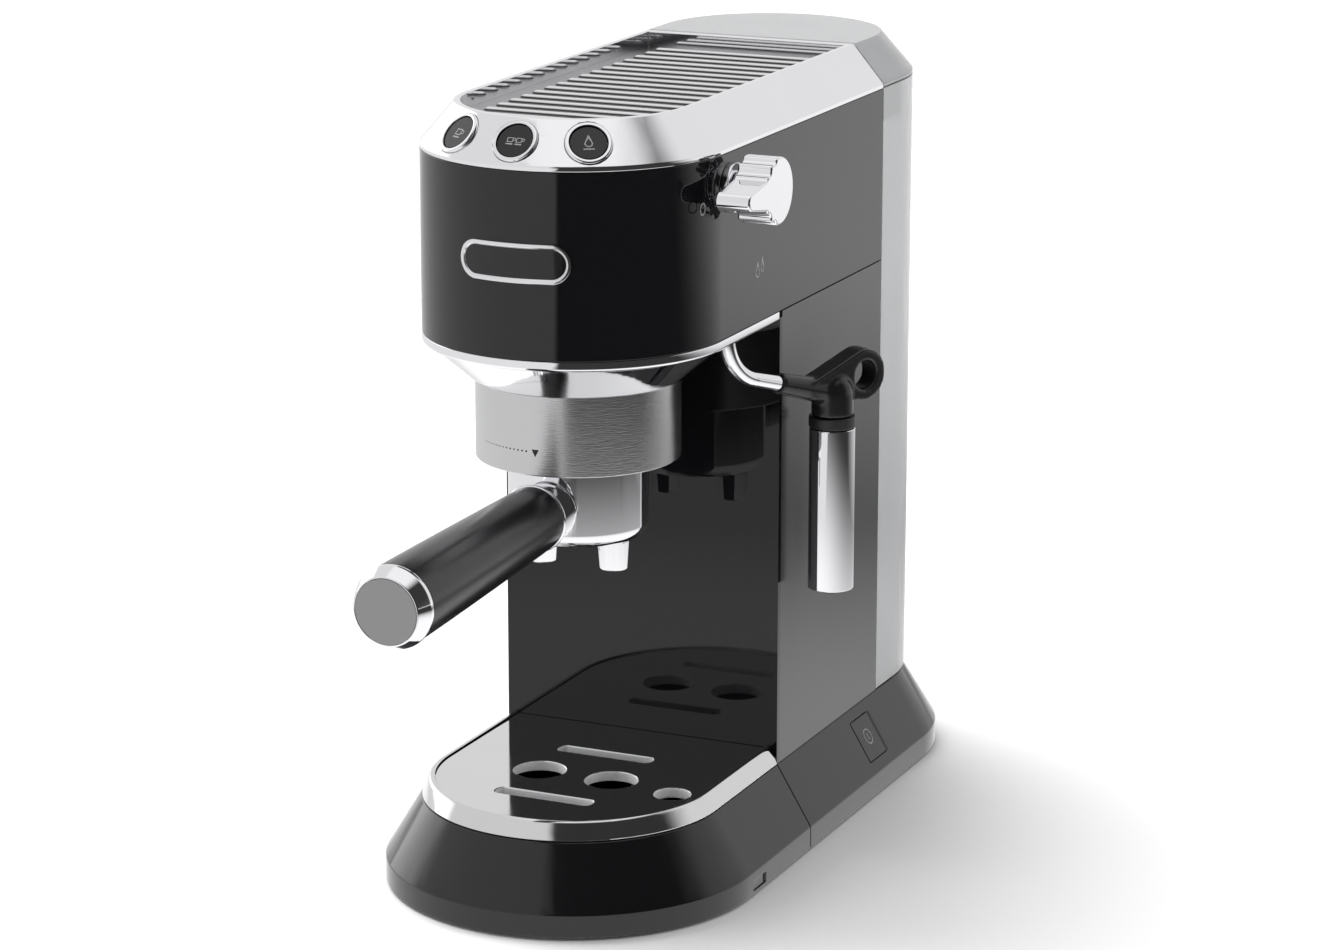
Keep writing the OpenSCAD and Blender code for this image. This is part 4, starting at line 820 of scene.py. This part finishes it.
@dataclass
class Badge(SubAssembly):
    """Plain pill plate on the front of the head, with a raised bright rim and nothing written on it."""

    length: float = 45.0
    height: float = 15.0
    thick: float = 1.1
    rim: float = 1.5
    sink: float = 0.6
    head_r: float = 59.45
    turn: float = -88.5
    middle: float = 256.0
    slices: int = 14
    sides: int = 48
    step_in: float = 0.2
    field_gap: float = 0.15
    field_rise: float = 0.08
    edge: float = 0.35

    def _pill(self, name: str, inset: float, thick: float) -> bpy.types.Object:
        """Makes a flat pill, sliced so that it can follow the head's curve.

        Args:
            name: name of the piece.
            inset: how far it lies inside the badge's edge, in millimetres.
            thick: its thickness in millimetres.

        Returns:
            The flat pill.
        """
        radius = self.height / 2 - inset
        run = self.length / 2 - self.height / 2
        piece = Bench.outline(name, self.sides, radius, 0, thick)
        for vertex in piece.data.vertices:
            if abs(vertex.co.x) > 0.01 * MM:
                vertex.co.x += math.copysign(run * MM, vertex.co.x)
        Bench.pick(piece, lambda face: True)
        for step in range(1, self.slices):
            x = (-self.length / 2 + self.length * step / self.slices) * MM
            bpy.ops.mesh.select_all(action="SELECT")
            bpy.ops.mesh.bisect(plane_co=(x, 0, 0), plane_no=(1, 0, 0))
        bpy.ops.object.mode_set(mode="OBJECT")
        return piece

    def build(self) -> None:
        """Builds the rim and the dark field inside it."""
        rim = self._pill("badge_rim", 0.0, self.thick)
        Bench.pick(rim, lambda face: face.normal.z > 0.9)
        bpy.ops.mesh.inset(thickness=self.rim * MM, use_boundary=True)
        bpy.ops.mesh.inset(thickness=self.step_in * MM, depth=-self.sink * MM)
        bpy.ops.object.mode_set(mode="OBJECT")
        Bench.wrap(rim, self.head_r, self.turn, self.middle)
        Bench.bevel(rim, self.edge)
        Bench.smooth(rim)
        self.seat(rim, "machine", "chrome", SATIN_CHROME)
        field = self._pill("badge_field", self.rim + self.field_gap, self.thick - self.sink + self.field_rise)
        Bench.wrap(field, self.head_r, self.turn, self.middle)
        Bench.smooth(field)
        self.seat(field, "machine", "gloss_black", BUTTON_BLACK)


@dataclass
class Marks(SubAssembly):
    """Small printed signs: on the collar, beside the steam knob and on the power flap."""

    thick: float = 0.05
    collar_r: float = 39.5
    collar_z: float = 179.4
    dot_r: float = 0.30
    dots: int = 13
    first_dot: float = -127.0
    last_dot: float = -94.5
    dot_least: float = 0.7
    dot_growth: float = 0.6
    triangle_r: float = 2.0
    triangle_size: tuple[float, float] = (0.85, 0.95)
    triangle_turn: float = -89.0
    side_x: float = 59.5
    closed_place: tuple[float, float] = (-17.5, 273.0)
    drop_place: tuple[float, float] = (35.0, 239.0)
    flame_place: tuple[float, float] = (39.6, 240.0)
    flap_corner: Triple = (60.0, 138.4, 34.2)
    flap_run: tuple[float, float] = (14.5, 24.0)
    flap_middle: float = 13.3

    def _collar(self) -> None:
        """Makes the row of dots and the triangle that show where the handle locks."""
        marks = []
        for step in range(self.dots):
            share = step / (self.dots - 1)
            radius = self.dot_r * (self.dot_least + self.dot_growth * share)
            turn = self.first_dot + share * (self.last_dot - self.first_dot)
            dot = Bench.outline("dot", 10, radius, 0, self.thick)
            Bench.wrap(dot, self.collar_r, turn, self.collar_z)
            marks.append(dot)
        triangle = Bench.outline("triangle", 3, self.triangle_r, 0, self.thick)
        Bench.shaped(triangle, *self.triangle_size, 60, 0, 0)
        Bench.wrap(triangle, self.collar_r, self.triangle_turn, self.collar_z)
        marks.append(triangle)
        joined = Bench.join("collar_marks", marks)
        self.seat(joined, "machine", "dark_plastic", MARK_DARK)

    def _side(self) -> None:
        """Makes the ring at the knob's closed place and the drop and flame below it."""
        ring = Bench.outline("ring", 24, 2.4, 0.5, self.thick)
        Bench.shaped(ring, 1, 1, 0, *self.closed_place)
        drop = Bench.outline("drop", 16, 1.9, 0.4, self.thick)
        self._pointed(drop, 2.6)
        Bench.shaped(drop, 1, 1, 0, *self.drop_place)
        flame = Bench.outline("flame", 16, 1.5, 0.4, self.thick)
        self._pointed(flame, 3.4)
        Bench.shaped(flame, 1, 1, 0, *self.flame_place)
        joined = Bench.join("steam_marks", [ring, drop, flame])
        turn = Matrix(((0, 0, 1, self.side_x * MM), (1, 0, 0, 0), (0, 1, 0, 0), (0, 0, 0, 1)))
        Bench.place(joined, turn)
        self.seat(joined, "machine", "disc_grey", MARK_GREY)

    @staticmethod
    def _pointed(piece: bpy.types.Object, rise: float) -> None:
        """Draws the top of a round mark up to a point by so many millimetres."""
        top = max(vertex.co.y for vertex in piece.data.vertices)
        for vertex in piece.data.vertices:
            if vertex.co.y > 0:
                share = vertex.co.y / top
                vertex.co.y += rise * MM * share ** 3
                vertex.co.x *= 1 - 0.55 * share ** 2
        piece.data.update()

    def _power(self) -> None:
        """Makes the ring and stroke on the power flap."""
        ring = Bench.outline("ring", 28, 3.4, 0.5, self.thick)
        stroke = Bench.outline("stroke", 4, 1.1, 0, self.thick)
        Bench.shaped(stroke, 0.35, 1.9, 45, 0, 0)
        joined = Bench.join("power_mark", [ring, stroke])
        slope = math.atan2(self.flap_run[1], self.flap_run[0])
        corner = Matrix.Translation(tuple(step * MM for step in self.flap_corner))
        middle = Matrix.Translation((self.flap_middle * MM, 0, 0))
        upright = Matrix.Rotation(math.radians(90), 4, "Z")
        Bench.place(joined, corner @ Matrix.Rotation(slope, 4, "Y") @ middle @ upright)
        self.seat(joined, "flap", "disc_grey", MARK_GREY)

    def build(self) -> None:
        """Builds every mark."""
        self._collar()
        self._side()
        self._power()


@dataclass
class Buttons(SubAssembly):
    """The three push buttons on the crown, each with its sign."""

    step: float = 30.0
    ring_r: float = 52.85
    height: float = 299.85
    tilt: float = 49.37
    face: float = 0.30
    thick: float = 0.05
    cap_round: float = 0.35
    small_cup: float = 0.75
    small_left: float = -1.9
    small_right: float = 1.7

    def _cup(self, across: float, scale: float) -> list[bpy.types.Object]:
        """Makes a cup with its ear and saucer.

        Args:
            across: shift of the cup in millimetres.
            scale: size of the cup against a full one.

        Returns:
            The cup's flat pieces.
        """
        bowl = Bench.outline("bowl", 4, 2.3, 0.45, self.thick)
        Bench.shaped(bowl, scale, 0.8 * scale, 45, across, 0.3)
        ear = Bench.outline("ear", 12, 0.9, 0.35, self.thick)
        Bench.shaped(ear, scale, scale, 0, across + 2.2 * scale, 0.5)
        saucer = Bench.outline("saucer", 4, 2.6, 0, self.thick)
        Bench.shaped(saucer, scale, 0.14, 45, across, -1.9 * scale)
        return [bowl, ear, saucer]

    def _steam(self) -> list[bpy.types.Object]:
        """Makes a drop over a line."""
        drop = Bench.outline("drop", 18, 1.6, 0.45, self.thick)
        Marks._pointed(drop, 2.0)
        Bench.shaped(drop, 1, 1, 0, 0, -0.2)
        line = Bench.outline("line", 4, 2.9, 0, self.thick)
        Bench.shaped(line, 1, 0.13, 45, 0, -2.6)
        return [drop, line]

    def build(self) -> None:
        """Builds the caps and lays each one's sign on it."""
        one = self._cup(0, 1.0)
        two = self._cup(self.small_left, self.small_cup) + self._cup(self.small_right, self.small_cup)
        signs = (
            ("one_cup", "button_one", -self.step, one),
            ("two_cup", "button_two", 0.0, two),
            ("steam", "button_three", self.step, self._steam()),
        )
        for name, body, turn, flats in signs:
            self.soften("button_" + name, body, self.cap_round)
            sign = Bench.join(name + "_sign", flats)
            round_axis = Matrix.Rotation(math.radians(turn), 4, "Z")
            out = Matrix.Translation((0, -self.ring_r * MM, self.height * MM))
            lean = Matrix.Rotation(math.radians(self.tilt), 4, "X")
            Bench.place(sign, round_axis @ out @ lean @ Matrix.Translation((0, 0, self.face * MM)))
            self.seat(sign, body, "disc_grey", MARK_GREY)


@dataclass
class BrewGroup(SubAssembly):
    """Collar, filter holder, spouts and handle."""

    collar_round: float = 0.5
    holder_round: float = 0.7
    spout_round: float = 0.9
    disc_round: float = 0.25
    turned_sides: int = 112
    axis_z: float = 154.8
    tilt: float = 2.0
    grip_start: float = 40.0
    grip: tuple[tuple[float, float], ...] = (
        (12.2, 0.05), (12.75, 0.6), (13.0, 8.0), (13.5, 26.0), (14.1, 50.0), (14.7, 76.0), (15.15, 98.0),
        (15.3, 110.8), (14.9, 111.9),
    )
    ring_start: float = 152.0
    ring: tuple[tuple[float, float], ...] = (
        (15.1, 0.02), (15.45, 0.12), (15.6, 0.40), (15.6, 1.75), (15.5, 2.05), (15.35, 2.35), (13.15, 7.05),
        (12.95, 7.35), (12.75, 7.48), (12.5, 7.5), (12.4, 7.4), (12.38, 5.95),
    )

    def build(self) -> None:
        """Builds the group's pieces."""
        collar = self.soften("group_collar", "machine", self.collar_round, 3)
        PAINT.dress(collar, COLLAR_STEEL)
        self.soften("filter_holder", "holder", self.holder_round, 3)
        self.soften("coffee_spouts", "holder", self.spout_round, 3)
        self.soften("handle_disc", "holder", self.disc_round)
        grip = self._turned("handle_grip_turned", self.grip, self.grip_start)
        self.seat(grip, "holder", "grip_black", GRIP_BLACK, "handle_grip")
        ring = self._turned("handle_ring_turned", self.ring, self.ring_start)
        self.seat(ring, "holder", self.slots["handle_ring"], CHROME, "handle_ring")

    def _turned(self, name: str, profile: Sequence[tuple[float, float]], start: float) -> bpy.types.Object:
        """Turns a piece and sets it on the handle's axis.

        Args:
            name: name of the piece.
            profile: radius and height of each step in millimetres.
            start: distance of its foot from the brew axis in millimetres.

        Returns:
            The placed piece.
        """
        piece = Bench.lathe(name, profile, self.turned_sides)
        Bench.smooth(piece, 40)
        Bench.place(piece, Matrix.Translation((0, 0, self.axis_z * MM))
                    @ Matrix.Rotation(math.radians(90 + self.tilt), 4, "X")
                    @ Matrix.Translation((0, 0, start * MM)))
        return piece


@dataclass
class SteamSide(SubAssembly):
    """Steam knob and wand."""

    knob_round: float = 0.9
    sleeve_round: float = 0.4
    ring_round: float = 0.6
    grip_voxel: float = 0.55
    grip_passes: int = 14
    grip_pull: float = 0.5

    def _grip(self) -> None:
        """Makes the soft-moulded grip, with its arm, body and loop flowing into each other."""
        piece = self.copy_of("wand_grip")
        piece.name = "wand_grip_moulded"
        Bench.modify(piece, "REMESH", mode="VOXEL", voxel_size=self.grip_voxel * MM)
        Bench.modify(piece, "SMOOTH", factor=self.grip_pull, iterations=self.grip_passes)
        Bench.smooth(piece, 60)
        self.seat(piece, "wand", "grip_black", GRIP_BLACK, "wand_grip")

    def build(self) -> None:
        """Builds the knob and the wand's pieces."""
        self.soften("steam_knob", "knob", self.knob_round, 4)
        self.soften("frother_sleeve", "sleeve", self.sleeve_round)
        self.soften("frother_ring", "wand", self.ring_round, 3)
        self._grip()


@dataclass
class DripPlate(SubAssembly):
    """Mirror-polished drip plate whose holes and slots are rolled down, with a painted reflection on the
    walls of its openings.
    """

    roll: float = 0.5
    middle_y: float = -4.5
    slot_y: float = 28.0
    slot_l: float = 41.0
    slot_w: float = 4.4
    roll_t: float = 1.2
    widen: float = 1.6
    slack: float = 0.2
    bed: float = 40.9
    wall_r: float = 45.0
    float_side: float = 36.0
    wall_back: float = 40.0
    upright: float = 0.35

    def _open_slots(self, plate: bpy.types.Object) -> None:
        """Spreads the two slots' rolled edges to their full width.

        Args:
            plate: the copied plate, before its edges are rounded.
        """
        reach_x = (self.slot_l / 2 + self.roll_t + self.slack) * MM
        reach_y = (self.slot_w / 2 + self.roll_t + self.slack) * MM
        for vertex in plate.data.vertices:
            for side in (-1, 1):
                centre = (self.middle_y + side * self.slot_y) * MM
                if abs(vertex.co.x) < reach_x and abs(vertex.co.y - centre) < reach_y:
                    vertex.co.y = centre + (vertex.co.y - centre) * self.widen
        plate.data.update()

    def build(self) -> None:
        """Builds the plate and paints a bright reflection on the walls of its openings with a pale matt
        colour.
        """
        plate = self.copy_of("drip_grate")
        self._open_slots(plate)
        Bench.bevel(plate, self.roll, 3)
        Bench.smooth(plate)
        slot = self.slots["drip_grate"]
        self.seat(plate, "grate", slot, SLOT_FINISHES[slot], "drip_grate")
        # The walls of the openings get the pale matt colour, a painted reflection.
        plate.data.materials.append(PAINT.of(PAINTED_REFLECTION_EDGE))
        reflection_index = len(plate.data.materials) - 1
        for face in plate.data.polygons:
            middle = face.center / MM
            near = math.hypot(middle.x, middle.y - self.middle_y) < self.wall_r or middle.x > self.float_side
            inside = middle.z < self.bed - self.slack and middle.y < self.wall_back
            if abs(face.normal.z) < self.upright and near and inside:
                face.material_index = reflection_index


@dataclass
class WaterTank(SubAssembly):
    """Translucent tank with its smoky lid."""

    tank_round: float = 0.5
    lid_round: float = 0.4

    def build(self) -> None:
        """Builds the tank and the lid."""
        self.soften("water_tank", "tank", self.tank_round)
        self.soften("tank_lid", "lid", self.lid_round)


@dataclass
class Studio:
    """Plain pale floor, soft lights and the camera.

    A ramp is four numbers: where the value starts and ends, and the brightness at those two.
    """

    eye: Triple = (0.673650, -1.419509, 0.573617)
    azimuth: float = 24.246
    elevation: float = 14.715
    lens: float = 115.069
    clip: tuple[float, float] = (0.05, 100.0)
    floor_half: float = 14.0
    floor_tone: float = 0.88
    floor_rough: float = 0.9
    floor_near: Ramp = (0.22, 0.75, 1.15, 0.04)
    floor_left: Ramp = (0.0, 0.10, 0.0, 0.85)
    floor_back: Ramp = (0.1, 1.2, 0.0, 1.0)
    left_way: Triple = (-0.976, -0.217, 0.0)
    lamp_way: Triple = (-0.936, 0.346, 0.06)
    sky_top: Ramp = (0.72, 0.93, 0.0, 1.0)
    sky_back: Ramp = (0.05, 0.55, 0.0, 0.85)
    sky_left: Ramp = (0.02, 0.16, 0.0, 0.80)
    sky_lamp: Ramp = (0.76, 0.99, 0.0, 2.2)
    sky_base: float = 0.04
    sun_power: float = 2.9
    sun_spread: float = 50.0
    sun_way: Triple = (0.62, -0.30, -1.0)
    box_place: Triple = (1.6, 0.35, 0.9)
    box_target: Triple = (0.0, 0.05, 0.2)
    box_size: tuple[float, float] = (0.35, 1.6)
    box_power: float = 7.0

    def build(self) -> None:
        """Makes the floor, the world, the lights and the camera."""
        self._floor()
        self._world()
        self._sun()
        self._softbox()
        self._camera()

    @staticmethod
    def _ramp(tree: bpy.types.NodeTree, value: object, ends: Ramp) -> object:
        """Adds a soft ramp.

        Args:
            tree: the node tree it goes into.
            value: the socket it reads.
            ends: the ramp's four numbers.

        Returns:
            The socket with its brightness.
        """
        ramp = tree.nodes.new("ShaderNodeMapRange")
        ramp.interpolation_type = "SMOOTHSTEP"
        for socket, end in zip(("From Min", "From Max", "To Min", "To Max"), ends):
            ramp.inputs[socket].default_value = end
        tree.links.new(value, ramp.inputs["Value"])
        return ramp.outputs["Result"]

    @staticmethod
    def _along(tree: bpy.types.NodeTree, place: object, way: Triple) -> object:
        """Adds how far a place or direction reaches along one way.

        Args:
            tree: the node tree it goes into.
            place: the socket with the place or direction.
            way: the way to measure along.

        Returns:
            The socket with the measure.
        """
        side = tree.nodes.new("ShaderNodeVectorMath")
        side.operation = "DOT_PRODUCT"
        side.inputs[1].default_value = way
        tree.links.new(place, side.inputs[0])
        return side.outputs["Value"]

    @staticmethod
    def _most(tree: bpy.types.NodeTree, values: Sequence[object], least: float = 0.0) -> object:
        """Adds the largest of several values.

        Args:
            tree: the node tree it goes into.
            values: the sockets to compare.
            least: what the result is at least.

        Returns:
            The socket with the largest.
        """
        total = None
        for value in values:
            most = tree.nodes.new("ShaderNodeMath")
            most.operation = "MAXIMUM"
            most.inputs[1].default_value = least
            tree.links.new(value, most.inputs[0])
            if total is not None:
                tree.links.new(total, most.inputs[1])
            total = most.outputs["Value"]
        return total

    def _floor(self) -> None:
        """Makes the pale floor; in reflections it is bright near the machine, to its left and behind."""
        bpy.ops.object.select_all(action="DESELECT")
        bpy.ops.mesh.primitive_plane_add(size=2 * self.floor_half, location=(0, 0, 0))
        floor = bpy.context.object
        floor.name = "studio_floor"
        material = bpy.data.materials.new("studio_floor")
        material.use_nodes = True
        tree = material.node_tree
        matt = tree.nodes["Principled BSDF"]
        matt.inputs["Base Color"].default_value = (self.floor_tone, self.floor_tone, self.floor_tone, 1)
        matt.inputs["Roughness"].default_value = self.floor_rough
        matt.inputs["Specular IOR Level"].default_value = 0.0
        place = tree.nodes.new("ShaderNodeTexCoord").outputs["Object"]
        distance = tree.nodes.new("ShaderNodeVectorMath")
        distance.operation = "LENGTH"
        tree.links.new(place, distance.inputs[0])
        near = self._ramp(tree, distance.outputs["Value"], self.floor_near)
        left = self._ramp(tree, self._along(tree, place, self.left_way), self.floor_left)
        back = self._ramp(tree, self._along(tree, place, (0.0, 1.0, 0.0)), self.floor_back)
        glow = tree.nodes.new("ShaderNodeEmission")
        path = tree.nodes.new("ShaderNodeLightPath")
        mix = tree.nodes.new("ShaderNodeMixShader")
        tree.links.new(self._most(tree, (near, left, back)), glow.inputs["Strength"])
        tree.links.new(path.outputs["Is Glossy Ray"], mix.inputs["Fac"])
        tree.links.new(matt.outputs["BSDF"], mix.inputs[1])
        tree.links.new(glow.outputs["Emission"], mix.inputs[2])
        tree.links.new(mix.outputs["Shader"], tree.nodes["Material Output"].inputs["Surface"])
        floor.data.materials.append(material)

    def _world(self) -> None:
        """Makes surroundings that are dim ahead, and bright overhead, behind and to the left."""
        world = bpy.data.worlds.new("studio")
        world.use_nodes = True
        tree = world.node_tree
        place = tree.nodes.new("ShaderNodeTexCoord").outputs["Generated"]
        parts = (
            ((0.0, 0.0, 1.0), self.sky_top),
            ((0.0, 1.0, 0.0), self.sky_back),
            (self.left_way, self.sky_left),
            (self.lamp_way, self.sky_lamp),
        )
        ramps = [self._ramp(tree, self._along(tree, place, way), ends) for way, ends in parts]
        background = tree.nodes["Background"]
        tree.links.new(self._most(tree, ramps, self.sky_base), background.inputs["Strength"])
        background.inputs["Color"].default_value = (1.0, 1.0, 1.0, 1)
        bpy.context.scene.world = world

    def _sun(self) -> None:
        """Adds the broad main light, from behind on the left."""
        bpy.ops.object.light_add(type="SUN", location=(-1.0, 0.8, 2.0))
        sun = bpy.context.object
        sun.name = "main_light"
        sun.data.energy = self.sun_power
        sun.data.angle = math.radians(self.sun_spread)
        sun.visible_glossy = False
        sun.rotation_euler = Vector(self.sun_way).to_track_quat("-Z", "Y").to_euler()

    def _softbox(self) -> None:
        """Adds the area light on the right, which faces the machine and isn't seen in reflections."""
        bpy.ops.object.light_add(type="AREA", location=self.box_place)
        light = bpy.context.object
        light.name = "right_softbox"
        light.data.shape = "RECTANGLE"
        light.data.size, light.data.size_y = self.box_size
        light.data.energy = self.box_power
        light.visible_glossy = False
        facing = Vector(self.box_target) - Vector(self.box_place)
        light.rotation_euler = facing.to_track_quat("-Z", "Y").to_euler()

    def _camera(self) -> None:
        """Adds the camera at its viewing angle."""
        bpy.ops.object.camera_add(
            location=self.eye,
            rotation=(math.radians(90 - self.elevation), 0, math.radians(self.azimuth)),
        )
        camera = bpy.context.object
        camera.data.lens = self.lens
        camera.data.sensor_width = 36.0
        camera.data.clip_start, camera.data.clip_end = self.clip
        bpy.context.scene.camera = camera


def dress_nodes(frame: dict) -> None:
    """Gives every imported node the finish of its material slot.
    """
    for row in frame["record"]["subparts"]:
        node = frame["nodes"][row["node"]]
        PAINT.dress(node, SLOT_FINISHES[row["material_slot"]])


def main() -> None:
    """Loads the frame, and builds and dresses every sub-assembly."""
    logging.basicConfig(level=logging.INFO, format="%(name)s: %(message)s")
    bpy.ops.object.select_all(action="SELECT")
    bpy.ops.object.delete()
    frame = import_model()
    dress_nodes(frame)
    for part in (Housings, Badge, Marks, Buttons, BrewGroup, SteamSide, DripPlate, WaterTank):
        part(frame).build()
        LOG.info("%s built", part.__name__)
    Studio().build()
    bpy.context.scene.view_settings.view_transform = "Standard"


if __name__ == "__main__":
    main()
